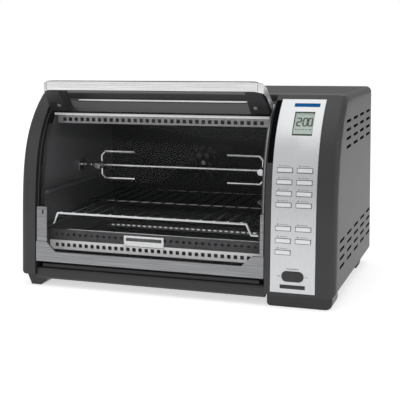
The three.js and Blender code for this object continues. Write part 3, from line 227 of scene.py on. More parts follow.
def painted_glow_steel(name, glow):
    """Aluminised sheet beside the lower heater, with a painted glow: an emission keeps it bright in
    the dark of the cavity, though it is no lamp.
    """
    material = brushed_metal(name, "#ffffff", 0.4, (60 * MM, 2 * MM, 2 * MM), 0.08, 0.01 * MM, 0.3)
    shader = material.node_tree.nodes["Principled BSDF"]
    shader.inputs["Emission Color"].default_value = (1, 1, 1, 1)
    shader.inputs["Emission Strength"].default_value = glow
    return material


def chrome_plate():
    """Bright chromium plate on steel wire: mirror-like, with slight dulling."""
    material, shader = start_material("chrome_plated_steel_wire", "#d9dadc", 1.0, 0.14)
    haze = stretched_noise(material, (14 * MM, 14 * MM, 14 * MM), 4.0)
    vary_colour(material, shader, haze, "#c4c4c6", "#e6e7e9")
    vary_roughness(material, shader, haze, 0.08, 0.26)
    return material


def chrome_darker_to_back():
    """Chromium plate on the rack: bright at the door, darker toward the back."""
    material, shader = start_material("chrome_wire_darker_to_back", "#b9babc", 1.0, 0.2)
    coordinates = add_node(material, "ShaderNodeTexCoord")
    axes = add_node(
        material, "ShaderNodeSeparateXYZ", links={"Vector": coordinates.outputs["Object"]})
    depth = add_node(
        material, "ShaderNodeMapRange", {"From Min": -150 * MM, "From Max": 0.0},
        {"Value": axes.outputs["Y"]})
    tint = add_node(material, "ShaderNodeValToRGB", links={"Fac": depth.outputs["Result"]})
    bright, dark = tint.color_ramp.elements
    bright.color = linear("#dcdddf")
    dark.color = linear("#4a4643")
    material.node_tree.links.new(tint.outputs["Color"], shader.inputs["Base Color"])
    haze = stretched_noise(material, (14 * MM, 14 * MM, 14 * MM), 4.0)
    vary_roughness(material, shader, haze, 0.12, 0.3)
    return material


def cavity_coat(name, base, gloss=0.2):
    """Non-stick coat baked on steel: dark, smooth, with faint specks."""
    material, shader = start_material(name, base, 0.0, 0.42, **{"Specular IOR Level": gloss})
    specks = stretched_noise(material, (3 * MM, 3 * MM, 3 * MM), 6.0)
    vary_colour(material, shader, specks, shade(base, 0.85), shade(base, 1.2), 0.15)
    add_bump(material, shader, specks, 0.02 * MM, 0.2)
    return material


def oxidised_sheath():
    """Heater sheath: steel gone dark and slightly brown from heat."""
    material, shader = start_material("oxidised_heater_sheath", "#4a4642", 0.7, 0.45)
    tint = stretched_noise(material, (25 * MM, 6 * MM, 6 * MM), 5.0)
    vary_colour(material, shader, tint, "#38332f", "#5d5750")
    vary_roughness(material, shader, tint, 0.35, 0.6)
    return material


def tempered_glass():
    """Clear tempered glass: almost unseen, with a faint grey body and sharp reflections."""
    material, shader = start_material("clear_tempered_glass", "#1c1f20", 0.0, 0.03, **{
        "Alpha": 0.08, "IOR": 1.5, "Coat Weight": 0.3, "Coat Roughness": 0.02})
    wave = stretched_noise(material, (180 * MM, 180 * MM, 180 * MM), 1.0)
    add_bump(material, shader, wave, 0.05 * MM, 0.3)
    return material


def printed_frit():
    """Black ceramic border fired on the glass: deep, even and a little glossy."""
    material, shader = start_material("fired_ceramic_frit", "#2b2b2c", 0.0, 0.25)
    dots = stretched_noise(material, (1.5 * MM, 1.5 * MM, 1.5 * MM), 1.0)
    vary_colour(material, shader, dots, "#28282a", "#2f2f31")
    return material


def display_ground():
    """Reflective display: a grey-green polariser with a soft sheen."""
    base = colours().display
    material, shader = start_material("reflective_lcd_polariser", base, 0.0, 0.45)
    grain = stretched_noise(material, (0.8 * MM, 0.8 * MM, 0.8 * MM), 2.0)
    vary_colour(material, shader, grain, shade(base, 0.96), shade(base, 1.04))
    return material


def display_window():
    """Clear acrylic window over the display."""
    material, shader = start_material("clear_acrylic_window", "#c8d2cc", 0.0, 0.08, **{
        "Alpha": 0.06, "IOR": 1.49})
    wave = stretched_noise(material, (40 * MM, 40 * MM, 40 * MM), 1.0)
    add_bump(material, shader, wave, 0.02 * MM, 0.3)
    return material


def dark_ink(name, base):
    """Pad-printed ink: flat and slightly uneven at its edges."""
    material, shader = start_material(name, base, 0.0, 0.6)
    patch = stretched_noise(material, (2 * MM, 2 * MM, 2 * MM), 3.0)
    vary_colour(material, shader, patch, shade(base, 0.9), shade(base, 1.25))
    return material


def painted_shadow_black():
    """Painted shadow: a near-black matt sheet that takes up nearly all the light that reaches it.
    """
    material, shader = start_material("matt_black_painted_shadow", "#050506", 0.0, 0.9, **{
        "Specular IOR Level": 0.05})
    pores = stretched_noise(material, (1 * MM, 1 * MM, 1 * MM), 3.0)
    vary_colour(material, shader, pores, "#030304", "#09090a")
    return material


def silver_paint():
    """Metallic silver paint on ABS buttons: bright with a fine flake."""
    material, shader = start_material("silver_painted_abs", "#dedfe1", 0.35, 0.32)
    flake = stretched_noise(material, (0.7 * MM, 0.7 * MM, 0.7 * MM), 2.0)
    vary_colour(material, shader, flake, "#d2d3d5", "#e9eaeb")
    vary_roughness(material, shader, flake, 0.26, 0.4)
    return material


def gloss_blue():
    """Blue acrylic bar: deep and even, with little shine."""
    base = colours().accent
    material, shader = start_material("gloss_blue_acrylic", base, 0.0, 0.35, **{
        "Specular IOR Level": 0.04})
    cloud = stretched_noise(material, (12 * MM, 6 * MM, 6 * MM), 3.0)
    vary_colour(material, shader, cloud, shade(base, 0.88), shade(base, 1.15))
    return material


def board_laminate():
    """Glass-epoxy board under green solder mask: slightly mottled."""
    material, shader = start_material("solder_masked_board", "#1f5a34", 0.0, 0.4)
    weave = stretched_noise(material, (5 * MM, 5 * MM, 5 * MM), 2.0)
    vary_colour(material, shader, weave, "#184a2a", "#2a6b40", 0.1)
    return material


def ceramic():
    """Steatite insulator: off-white, dry and slightly mottled."""
    material, shader = start_material("steatite_ceramic", "#d9d3c6", 0.0, 0.6)
    mottle = stretched_noise(material, (4 * MM, 4 * MM, 4 * MM), 4.0)
    vary_colour(material, shader, mottle, "#cbc4b6", "#e4dfd4")
    return material


MAKERS = {
    "casing": lambda: moulded_abs("spark_grained_abs_charcoal", colours().casing),
    "paint": lambda: powder_coat("powder_coated_steel_charcoal", colours().casing),
    "black": lambda: moulded_abs("satin_abs_black", colours().black, 0.36),
    "rubber": lambda: moulded_abs("moulded_rubber", "#1d1d1e", 0.75, 2 * MM),
    "fascia": lambda: brushed_metal("vertical_brushed_aluminium", colours().fascia, 0.36,
                                    (0.9 * MM, 0.9 * MM, 60 * MM), 0.05, 0.01 * MM),
    "steel": lambda: brushed_metal("brushed_stainless_trim", colours().steel, 0.3,
                                   (80 * MM, 1.2 * MM, 1.2 * MM), 0.22),
    "band": lambda: brushed_metal("bright_brushed_stainless", colours().band, 0.26,
                                  (90 * MM, 1.0 * MM, 1.0 * MM), 0.12),
    "zinc": lambda: brushed_metal("zinc_plated_steel", "#9b9c9e", 0.4, (9 * MM, 9 * MM, 9 * MM)),
    "tray": lambda: brushed_metal(
        "blued_tray_steel", "#2c2c2e", 0.45, (50 * MM, 3 * MM, 3 * MM), 0.15, 0.02 * MM, 0.4),
    "lip": lambda: brushed_metal(
        "bright_aluminised_lip", "#ffffff", 0.4, (60 * MM, 2 * MM, 2 * MM), 0.08, 0.01 * MM, 0.3),
    # guard and reflector: painted glow, an emission that keeps these aluminised sheets bright
    # though they are no lamps
    "guard": lambda: painted_glow_steel("front_guard_painted_glow", 0.16),
    "reflector": lambda: painted_glow_steel("reflector_plate_painted_glow", 0.4),
    "chrome": chrome_plate,
    "rack": chrome_darker_to_back,
    # One non-stick coat as a lit and a shaded copy: painted light on the side walls and lower
    # baffle, painted shade on the back, ceiling and fan guard.
    "enamel": lambda: cavity_coat("nonstick_coat_painted_light", colours().enamel),
    "coat_painted_shade": lambda: cavity_coat("nonstick_coat_painted_shade", colours().cavity_back_painted_shade, 0.12),
    "sheath": oxidised_sheath,
    "glass": tempered_glass,
    "frit": printed_frit,
    "display": display_ground,
    "window": display_window,
    "ink": lambda: dark_ink("pad_printed_ink", "#77787b"),
    # recess: dark ink, used both as painted shade round the buttons and as the dark field of the
    # guard plate
    "recess": lambda: dark_ink("painted_shade_and_dark_print", "#5b5c5f"),
    # seal: painted shadow, a near-black sheet beside the upper part of the door
    "seal": painted_shadow_black,
    "segment": lambda: dark_ink("display_segment", "#10140f"),
    "button": silver_paint,
    "accent": gloss_blue,
    "board": board_laminate,
    "ceramic": ceramic,
}
made = {}


def finish(key):
    """The material of that key, made once."""
    if key not in made:
        made[key] = MAKERS[key]()
    return made[key]


# ---------------------------------------------------------------- modelling helpers

RAY_START = -1.0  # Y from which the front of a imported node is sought
STRIP_START = -0.4  # Y from which a strip is pressed onto that front
FACING = 0.9  # cosine over which a face counts as looking along a direction
ROUNDED_FOLD = math.radians(40)  # edges that fold more are rounded, on an added piece
ROUNDED_CAD_FOLD = math.radians(35)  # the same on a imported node
CREASE = math.radians(35)  # edges that fold more stay sharp in the shading of an added piece
CAD_CREASE = math.radians(32)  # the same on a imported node
PANEL_SHARE, BUTTON_SHARE, FINE_SHARE = 0.5, 0.8, 0.3  # of the edge rounding, on finer pieces


def deselect():
    """Clears the selection."""
    bpy.ops.object.select_all(action="DESELECT")


def only(piece):
    """Selects one object and nothing else."""
    deselect()
    piece.select_set(True)
    bpy.context.view_layer.objects.active = piece


def settle(piece):
    """Puts the piece's place, turn and size into its mesh."""
    only(piece)
    bpy.ops.object.transform_apply(location=True, rotation=True, scale=True)


def apply_all(piece):
    """Makes the piece's modifiers part of its mesh."""
    only(piece)
    for modifier in list(piece.modifiers):
        bpy.ops.object.modifier_apply(modifier=modifier.name)


def block(name, low, high):
    """A box between two corners."""
    low, high = Vector(low), Vector(high)
    deselect()
    bpy.ops.mesh.primitive_cube_add(size=1, location=(low + high) / 2)
    piece = bpy.context.object
    piece.name = name
    piece.scale = high - low
    settle(piece)
    return piece


def drum(name, centre, axis, radius, length, sides):
    """A round bar about a centre, along an axis."""
    deselect()
    turn = Vector(axis).to_track_quat("Z", "Y").to_euler()
    bpy.ops.mesh.primitive_cylinder_add(
        vertices=sides, radius=radius, depth=length, location=centre, rotation=turn)
    piece = bpy.context.object
    piece.name = name
    settle(piece)
    return piece


def dish(piece, direction, rim, rise):
    """Insets the face that looks along a direction, and moves it that way."""
    direction = Vector(direction)
    only(piece)
    bpy.ops.object.mode_set(mode="EDIT")
    bpy.ops.mesh.select_mode(type="FACE")
    bpy.ops.mesh.select_all(action="DESELECT")
    bpy.ops.object.mode_set(mode="OBJECT")
    for face in piece.data.polygons:
        face.select = face.normal.dot(direction) > FACING
    bpy.ops.object.mode_set(mode="EDIT")
    bpy.ops.mesh.inset(thickness=rim)
    bpy.ops.transform.translate(value=direction * rise)
    bpy.ops.object.mode_set(mode="OBJECT")


def round_edges(piece, width, fold):
    """Adds a bevel over the edges that fold by more than an angle."""
    bevel = piece.modifiers.new("Edges", "BEVEL")
    bevel.width = width
    bevel.segments = 2
    bevel.limit_method = "ANGLE"
    bevel.angle_limit = fold


def soften(piece, width):
    """Rounds an added piece's hard edges."""
    round_edges(piece, width, ROUNDED_FOLD)
    apply_all(piece)


def close_up(piece, key, body, edge=0.0):
    """Rounds, shades, finishes and mounts an added piece."""
    if edge:
        soften(piece, edge)
    only(piece)
    bpy.ops.object.shade_smooth_by_angle(angle=CREASE)
    piece.data.materials.clear()
    piece.data.materials.append(finish(key))
    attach(piece, body)


def merge(name, parts):
    """Joins objects into one piece."""
    deselect()
    for part in parts:
        part.select_set(True)
    bpy.context.view_layer.objects.active = parts[0]
    bpy.ops.object.join()
    piece = bpy.context.object
    piece.name = name
    return piece


def dress(node, key, edge=0.0):
    """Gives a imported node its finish, welded and rounded edges and smooth shading."""
    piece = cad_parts[node]
    piece.data.materials.clear()
    piece.data.materials.append(finish(key))
    weld = piece.modifiers.new("Weld", "WELD")
    weld.merge_threshold = 0.01 * MM
    if edge:
        round_edges(piece, edge, ROUNDED_CAD_FOLD)
    split = piece.modifiers.new("Split", "EDGE_SPLIT")
    split.split_angle = CAD_CREASE
    even = piece.modifiers.new("Even", "WEIGHTED_NORMAL")
    even.keep_sharp = True
    only(piece)
    bpy.ops.object.shade_smooth()


def buttons():
    """The names of the push buttons' nodes, in order."""
    return sorted(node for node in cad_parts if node.startswith("button_"))


def middle(node):
    """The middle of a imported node's box."""
    low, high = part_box(node)
    return (Vector(low) + Vector(high)) / 2


def front_hit(node, x, z):
    """The point and normal where a line along +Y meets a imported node."""
    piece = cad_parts[node]
    found, point, normal, _ = piece.ray_cast(Vector((x, RAY_START, z)), Vector((0, 1, 0)))
    if not found:
        raise RuntimeError(f"nothing of {node} at x {x:.3f}, z {z:.3f}")
    return point, normal


def lean_of(normal):
    """How far a front surface leans back, from its normal."""
    return math.atan2(normal.z, -normal.y)


def tile(point, normal, width, height, thickness, shift=(0, 0)):
    """A thin plate lying on a leaning surface, shifted across and up on it."""
    lean = lean_of(normal)
    up = Vector((0, math.sin(lean), math.cos(lean)))
    centre = point + Vector((shift[0], 0, 0)) + up * shift[1] + normal * thickness / 2
    deselect()
    bpy.ops.mesh.primitive_cube_add(size=1, location=centre, rotation=(-lean, 0, 0))
    piece = bpy.context.object
    piece.scale = (width, thickness, height)
    settle(piece)
    return piece


def strip(name, node, x0, x1, z0, z1, lift, thickness):
    """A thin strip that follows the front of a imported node, a little off it."""
    deselect()
    bpy.ops.mesh.primitive_grid_add(
        x_subdivisions=2, y_subdivisions=16, size=1,
        location=((x0 + x1) / 2, STRIP_START, (z0 + z1) / 2), rotation=(math.pi / 2, 0, 0))
    piece = bpy.context.object
    piece.name = name
    piece.scale = (x1 - x0, z1 - z0, 1)
    settle(piece)
    wrap = piece.modifiers.new("Wrap", "SHRINKWRAP")
    wrap.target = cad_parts[node]
    wrap.wrap_method = "PROJECT"
    wrap.use_project_y = True
    wrap.use_positive_direction = True
    wrap.use_negative_direction = False
    wrap.offset = lift
    wall = piece.modifiers.new("Wall", "SOLIDIFY")
    wall.thickness = thickness
    wall.offset = 1.0
    apply_all(piece)
    return piece


def screw(name, point, normal, radius):
    """A pan-head screw with a cross recess, standing on a surface."""
    point, normal = Vector(point), Vector(normal).normalized()
    height, rim, rise = radius * 0.5, radius * 0.25, radius * 0.14
    head = drum(name, point + normal * height / 2, normal, radius, height, 24)
    dish(head, normal, rim, rise)
    arm = Matrix.Diagonal((radius * 1.1, radius * 0.24, radius * 0.5, 1))
    place = Matrix.Translation(point + normal * radius * 0.62)
    across = Vector((1, 0, 0)) if abs(normal.x) < 0.5 else Vector((0, 1, 0))
    upward = normal.cross(across).normalized()
    for one, two in ((across, upward), (upward, across)):
        bar = block("recess", (-0.5, -0.5, -0.5), (0.5, 0.5, 0.5))
        bar.matrix_world = place @ Matrix((one, two, normal)).transposed().to_4x4() @ arm
        settle(bar)
        bpy.ops.object.mode_set(mode="EDIT")
        bpy.ops.mesh.select_all(action="SELECT")
        bpy.ops.mesh.normals_make_consistent(inside=False)
        bpy.ops.object.mode_set(mode="OBJECT")
        cut = head.modifiers.new("Cut", "BOOLEAN")
        cut.object = bar
        cut.operation = "DIFFERENCE"
        cut.solver = "EXACT"
        apply_all(head)
        bpy.data.objects.remove(bar)
    return head


# ---------------------------------------------------------------- casing


class OVEN_OT_casing(bpy.types.Operator):
    """Finish the outer casing, sill and feet, and add the case screws"""

    bl_idname = "oven.casing"
    bl_label = "Casing"

    def execute(self, context):
        edge = sizes().edge
        for node in ("right_side_panel", "left_end_panel"):
            dress(node, "casing", edge * PANEL_SHARE)
        dress("front_header", "casing", edge)
        for node in ("top_cover", "rear_cover", "base_pan"):
            dress(node, "paint")
        for node in ("front_sill", "left_front_foot", "right_front_foot"):
            dress(node, "black", edge)
        for node in ("left_rear_foot", "right_rear_foot"):
            dress(node, "rubber", edge)
        self.rear_screws()
        return {"FINISHED"}

    def rear_screws(self):
        """Three screws down each side of the rear cover, almost flush with it."""
        low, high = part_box("rear_cover")
        inset, sink = 18 * MM, 2.12 * MM
        radius = sizes().screw_radius
        heads = []
        for z in (low[2] + inset, (low[2] + high[2]) / 2, high[2] - inset):
            for x in (low[0] + inset, high[0] - inset):
                heads.append(screw("rear_screw", (x, high[1] - sink, z), (0, 1, 0), radius))
        close_up(merge("rear_cover_screws", heads), "zinc", "chassis")


# ---------------------------------------------------------------- control column


class OVEN_OT_controls(bpy.types.Operator):
    """Finish the control column and add the painted shade rings, marks, badge and painted shadow
    strip
    """

    bl_idname = "oven.controls"
    bl_label = "Control column"

    def execute(self, context):
        edge = sizes().edge
        dress("control_bezel", "casing", edge * PANEL_SHARE)
        dress("control_fascia", "fascia")
        dress("accent_bar", "accent", edge * FINE_SHARE)
        dress("power_rocker", "black", edge)
        for node in buttons():
            dress(node, "button", edge * BUTTON_SHARE)
        dress("control_board", "board")
        self.button_frames()
        self.button_marks()
        self.rocker_marks()
        self.badge()
        self.column_painted_shadow()
        return {"FINISHED"}

    def button_frames(self):
        """A thin dark ring round every button: painted shade at the buttons' edges."""
        lip = 0.9 * MM
        gap = 0.2 * MM
        over = 2 * MM  # from a button's top to where the fascia's lean is taken
        thick = sizes().print_thickness
        frames = []
        for node in buttons():
            low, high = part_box(node)
            point, normal = front_hit("control_fascia", middle(node).x, high[2] + over)
            lean = lean_of(normal)
            down = Vector((0, -math.sin(lean), -math.cos(lean)))
            width = high[0] - low[0] + 2 * (gap + lip)
            height = (high[2] - low[2]) * math.cos(lean) + 2 * lip
            centre = point + down * ((high[2] - low[2]) / 2 + over) + normal * thick
            deselect()
            bpy.ops.mesh.primitive_plane_add(
                size=1, location=centre, rotation=(math.pi / 2 - lean, 0, 0))
            ring = bpy.context.object
            ring.scale = (width, height, 1)
            settle(ring)
            bpy.ops.object.mode_set(mode="EDIT")
            bpy.ops.mesh.select_all(action="SELECT")
            bpy.ops.mesh.inset(thickness=lip)
            bpy.ops.mesh.delete(type="FACE")
            bpy.ops.object.mode_set(mode="OBJECT")
            wall = ring.modifiers.new("Wall", "SOLIDIFY")
            wall.thickness = thick
            wall.offset = 0.0
            apply_all(ring)
            frames.append(ring)
        close_up(merge("button_shade_rings", frames), "recess", "chassis")

    def button_marks(self):
        """A plain dot and a short dash over each button, where its label goes."""
        thick = sizes().print_thickness
        over = 3.4 * MM
        dot, dot_shift = (2.4 * MM, 2.2 * MM), (-9 * MM, 0)
        dash, dash_shift = (13 * MM, 0.8 * MM), (1 * MM, 0)
        marks = []
        for node in buttons():
            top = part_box(node)[1][2]
            point, normal = front_hit("control_fascia", middle(node).x, top + over)
            marks.append(tile(point, normal, *dot, thick, dot_shift))
            marks.append(tile(point, normal, *dash, thick, dash_shift))
        close_up(merge("button_marks", marks), "ink", "chassis")

    def rocker_marks(self):
        """Plain dashes at both ends of the rocker and a line over it."""
        thick = sizes().print_thickness
        low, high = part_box("power_rocker")
        centre = middle("power_rocker")
        beside, dash = 5 * MM, (5 * MM, 1.2 * MM)
        over, line = 4 * MM, (20 * MM, 1.4 * MM)
        marks = []
        for x in (low[0] - beside, high[0] + beside):
            point, normal = front_hit("control_fascia", x, centre.z)
            marks.append(tile(point, normal, *dash, thick))
        point, normal = front_hit("control_fascia", centre.x, high[2] + over)
        marks.append(tile(point, normal, *line, thick))
        close_up(merge("rocker_marks", marks), "ink", "chassis")

    def badge(self):
        """A plain raised nameplate with nothing on it."""
        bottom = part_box("control_fascia")[0][2]
        rise = 10 * MM
        width, height, thick = 42 * MM, 6.4 * MM, 0.7 * MM
        point, normal = front_hit("control_fascia", middle("control_fascia").x, bottom + rise)
        plate = tile(point, normal, width, height, thick)
        plate.name = "blank_nameplate"
        close_up(plate, "black", "chassis", 0.25 * MM)

    def column_painted_shadow(self):
        """A black strip on the bezel beside the upper part of the door: painted shadow of the
        handle over the gap.
        """
        bezel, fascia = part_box("control_bezel"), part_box("control_fascia")
        left, right = bezel[0][0] + 0.8 * MM, fascia[0][0] - 0.6 * MM
        top, length = fascia[1][2] - 2 * MM, 98 * MM
        lift, thick = 0.1 * MM, 0.2 * MM
        seal = strip(
            "column_painted_shadow", "control_bezel", left, right, top - length, top, lift, thick)
        close_up(seal, "seal", "chassis")


# The place of each bar of a digit, in half widths and half heights, and if it lies flat.
SEGMENTS = {
    "top": (0, 1, True), "middle": (0, 0, True), "bottom": (0, -1, True),
    "upper_left": (-1, 0.5, False), "upper_right": (1, 0.5, False),
    "lower_left": (-1, -0.5, False), "lower_right": (1, -0.5, False),
}
DIGITS = {
    "2": ("top", "upper_right", "middle", "lower_left", "bottom"),
    "0": ("top", "upper_left", "upper_right", "lower_left", "lower_right", "bottom"),
}


class OVEN_OT_display(bpy.types.Operator):
    """Add the display ground, its clock digits and its window"""

    bl_idname = "oven.display"
    bl_label = "Display"

    def execute(self, context):
        dress("display_lens", "window", sizes().edge * FINE_SHARE)
        dress("lcd_module", "black")
        low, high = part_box("display_lens")
        centre = middle("display_lens")
        margin, height, thick = 1 * MM, 42 * MM, 0.4 * MM
        point, normal = front_hit("lcd_module", centre.x, centre.z)
        ground = tile(point, normal, high[0] - low[0] - margin, height, thick)
        ground.name = "display_ground"
        close_up(ground, "display", "chassis", 0.1 * MM)
        self.clock(point + normal * (thick + 0.05 * MM), normal)
        return {"FINISHED"}

    def clock(self, point, normal):
        """Seven-bar digits of a clock and a row of plain mode bars."""
        thick = 0.1 * MM
        tall = sizes().digit_height
        wide, stroke, upright = tall * 0.42, tall * 0.17, tall * 0.46
        rise = 2.5 * MM  # of the digits' middle over the display's
        colon, dot = -3.4 * MM, 1.6 * MM
        count, pitch, bar, drop = 5, 5.6 * MM, (3.6 * MM, 1.2 * MM), 5 * MM
        pieces = []
        for digit, across in (("2", -8.5 * MM), ("0", 2.0 * MM), ("0", 10.5 * MM)):
            for name in DIGITS[digit]:
                u, v, flat = SEGMENTS[name]
                size = (wide, stroke) if flat else (stroke, upright)
                shift = (across + u * wide / 2, v * tall / 2 + rise)
                pieces.append(tile(point, normal, *size, thick, shift))
        for height in (0, 2 * rise):
            pieces.append(tile(point, normal, dot, dot, thick, (colon, height)))
        for step in range(count):
            shift = ((step - count // 2) * pitch, -tall / 2 - drop)
            pieces.append(tile(point, normal, *bar, thick, shift))
        close_up(merge("display_digits", pieces), "segment", "chassis")


# ---------------------------------------------------------------- door


class OVEN_OT_door(bpy.types.Operator):
    """Finish the door glass, its printed border and its brushed trims"""

    bl_idname = "oven.door"
    bl_label = "Door"

    def execute(self, context):
        dress("door_glass", "glass")
        for node in ("door_bottom_trim", "door_strip_left", "door_strip_right"):
            dress(node, "steel", sizes().sheet_edge)
        dress("door_lower_rail", "zinc")
        self.top_border()
        self.side_edges()
        self.strip_slot()
        return {"FINISHED"}

    def top_border(self):
        """The fired border at the top of the glass and the thin steel edge over it."""
        low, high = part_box("door_glass")
        margin = 1 * MM
        top = high[2] - margin
        lift, thick = 0.15 * MM, 0.2 * MM
        border = strip(
            "glass_border", "door_glass", low[0] + margin, high[0] - margin,
            top - sizes().frit_height, top, lift, thick)
        close_up(border, "frit", "door")
        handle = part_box("door_handle")
        bracket = 48 * MM
        front = front_hit("door_glass", 0, high[2] - 0.6 * MM)[0].y - 1.2 * MM
        edge = block(
            "glass_top_edge", (handle[0][0] + bracket, front, high[2] + 0.2 * MM),
            (handle[1][0] - bracket, high[1] + 0.4 * MM, high[2] + 2.2 * MM))
        close_up(edge, "lip", "door", 0.5 * MM)

    def side_edges(self):
        """Thin edge strips up both sides of the glass, over the brushed ones."""
        low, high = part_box("door_glass")
        top, gap = high[2] - 2 * MM, 1 * MM
        lift, thick = 0.1 * MM, 0.5 * MM
        for name, left, right, below, key, slot in (
            ("glass_edge_right", high[0] - 3.2 * MM, high[0] - 0.8 * MM,
             "door_strip_right", "steel", "door_steel"),
            ("glass_edge_left", low[0] + 0.8 * MM, low[0] + 2.2 * MM,
             "door_strip_left", "casing", "charcoal_plastic"),
        ):
            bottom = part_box(below)[1][2] + gap
            edge = strip(name, "door_glass", left, right, bottom, top, lift, thick)
            close_up(edge, key, "door")

    def strip_slot(self):
        """A black tile near the top of the wide side strip: painted shade standing for a dark slot.
        """
        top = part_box("door_strip_left")[1][2]
        drop, shift = 9 * MM, (2 * MM, 0)
        width, height, thick = 3.4 * MM, 8 * MM, 0.25 * MM
        point, normal = front_hit("door_strip_left", middle("door_strip_left").x, top - drop)
        slot = tile(point, normal, width, height, thick, shift)
        slot.name = "door_strip_slot"
        close_up(slot, "black", "door", 0.1 * MM)


class OVEN_OT_handle(bpy.types.Operator):
    """Finish the handle and its band and add the bracket screws"""

    bl_idname = "oven.handle"
    bl_label = "Handle"

    def execute(self, context):
        dress("door_handle", "black", sizes().edge)
        dress("handle_band", "band", sizes().sheet_edge)
        self.bracket_screws()
        self.band_crease_shade()
        return {"FINISHED"}

    def bracket_screws(self):
        """A screw in each end bracket of the handle."""
        low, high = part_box("door_handle")
        inset, rise = 24 * MM, 12 * MM
        heads = []
        for x in (low[0] + inset, high[0] - inset):
            point, normal = front_hit("door_handle", x, low[2] + rise)
            heads.append(screw("bracket_screw", point, normal, sizes().screw_radius))
        close_up(merge("handle_screws", heads), "zinc", "door")

    def band_crease_shade(self):
        """Narrow dark strips where the band's front turns into its ends: painted shade at the
        creases.
        """
        low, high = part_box("handle_band")
        inset, drop = 14.5 * MM, 9 * MM
        width, height, thick = 0.9 * MM, 13 * MM, 0.1 * MM
        crease_shades = []
        for x in (low[0] + inset, high[0] - inset):
            point, normal = front_hit("handle_band", x, high[2] - drop)
            crease_shades.append(tile(point, normal, width, height, thick))
        close_up(merge("band_crease_shade", crease_shades), "black", "door")


# ---------------------------------------------------------------- cavity


class OVEN_OT_cavity(bpy.types.Operator):
    """Finish the cavity and heaters and add the flanges, glowing rear plate, lips, plate and
    collars
    """

    bl_idname = "oven.cavity"
    bl_label = "Cavity"

    def execute(self, context):
        # Painted light and shade: one coat, lightened on the side walls and lower baffle, darkened
        # on the back, ceiling and fan guard.
        for node in ("cavity_left_wall", "cavity_right_wall", "lower_baffle"):
            dress(node, "enamel")
        for node in ("cavity_back_wall", "cavity_ceiling", "fan_guard"):
            dress(node, "coat_painted_shade")
        for node in ("upper_guard", "lower_rear_guard"):
            dress(node, "zinc")
        # Painted glow: the front guard's finish gives off light though it is no lamp.
        dress("lower_front_guard", "guard")
        dress("spit_support", "chrome")
        for node in ("upper_heater", "lower_heater"):
            dress(node, "sheath")
        self.front_flange()
        self.side_flanges()
        self.rear_glowing_plate()
        self.guard_lips()
        self.guard_plate()
        self.collars()
        return {"FINISHED"}

    def front_flange(self):
        """The bright folded flange across the top of the opening."""
        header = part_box("front_header")[0]
        left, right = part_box("cavity_left_wall")[0][0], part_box("cavity_right_wall")[1][0]
        flange = block(
            "cavity_top_flange", (left, header[1] - 3 * MM, header[2] - 4.6 * MM),
            (right, header[1] + 8 * MM, header[2] - 0.4 * MM))
        close_up(flange, "lip", "chassis", 0.8 * MM)

    def side_flanges(self):
        """Painted flanges beside the opening that follow the curve of the door."""
        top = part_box("upper_guard")[0][2]
        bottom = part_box("lower_front_guard")[0][2]
        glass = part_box("door_glass")
        margin = 0.4 * MM
        least, most = glass[0][0] + margin, glass[1][0] - margin
        width, lap, setback = 10 * MM, 1.5 * MM, 11 * MM
        lift, thick = -0.1 * MM, 0.8 * MM
        for wall, outer, side, name in (
            ("cavity_left_wall", 0, -1, "left_flange"),
            ("cavity_right_wall", 1, 1, "right_flange"),
        ):
            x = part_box(wall)[outer][0]
            reach = sorted((x - side * lap, x + side * (width - lap)))
            left, right = (min(max(edge, least), most) for edge in reach)
            flange = strip(name, "door_glass", left, right, bottom, top, lift, thick)
            flange.location.y += setback
            settle(flange)
            close_up(flange, "casing", "chassis")

    def rear_glowing_plate(self):
        """A plate close behind the rear guard, seen through its holes, kept bright by a painted
        glow.
        """
        low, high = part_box("lower_rear_guard")
        gap, thick, margin = 0.6 * MM, 0.8 * MM, 1 * MM
        plate = block(
            "rear_glowing_plate", (low[0], high[1] + gap, low[2] + margin),
            (high[0], high[1] + gap + thick, high[2] - margin))
        close_up(plate, "reflector", "chassis", 0.2 * MM)

    def guard_lips(self):
        """Folded lips along the top edges of the guards."""
        gap, thick, reach = 0.2 * MM, 1.2 * MM, 3 * MM
        for node, name in (("lower_baffle", "lower_guard_lip"), ("upper_guard", "upper_guard_lip")):
            low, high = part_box(node)
            lip = block(
                name, (low[0], low[1] - reach, high[2] + gap),
                (high[0], high[1], high[2] + gap + thick))
            close_up(lip, "chrome", "chassis", 0.4 * MM)

    def guard_plate(self):
        """A plain plate left of the middle of the lower guard, with a blank dark field."""
        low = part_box("lower_baffle")[0]
        x, z = middle("lower_baffle").x - 16 * MM, low[2] + 6 * MM
        half_width, half_height, thick = 38 * MM, 10 * MM, 1 * MM
        rim, recess = 2 * MM, 0.3 * MM
        back = low[1] - 0.1 * MM
        plate = block(
            "guard_plate", (x - half_width, back - thick, z - half_height),
            (x + half_width, back, z + half_height))
        dish(plate, (0, -1, 0), rim, -recess)
        close_up(plate, "band", "chassis", 0.2 * MM)
        half_width, height = 34 * MM, 6 * MM
        field = block(
            "guard_plate_field", (x - half_width, low[1] - 1.0 * MM, z),
            (x + half_width, low[1] - 0.7 * MM, z + height))
        close_up(field, "recess", "chassis", 0.1 * MM)

    def collars(self):
        """Ceramic collars where the heater legs pass the right wall."""
        radius, length, rim, rise = 6.4 * MM, 8 * MM, 2.2 * MM, 2 * MM
        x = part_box("cavity_right_wall")[1][0] - 6 * MM
        collars = []
        for node in ("upper_heater", "lower_heater"):
            low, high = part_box(node)
            z = (low[2] + high[2]) / 2
            reach = (high[2] - low[2]) / 2
            for y in (low[1] + reach, high[1] - reach):
                collar = drum("collar", (x, y, z), (1, 0, 0), radius, length, 20)
                dish(collar, (-1, 0, 0), rim, rise)
                collars.append(collar)
        close_up(merge("heater_collars", collars), "ceramic", "chassis")


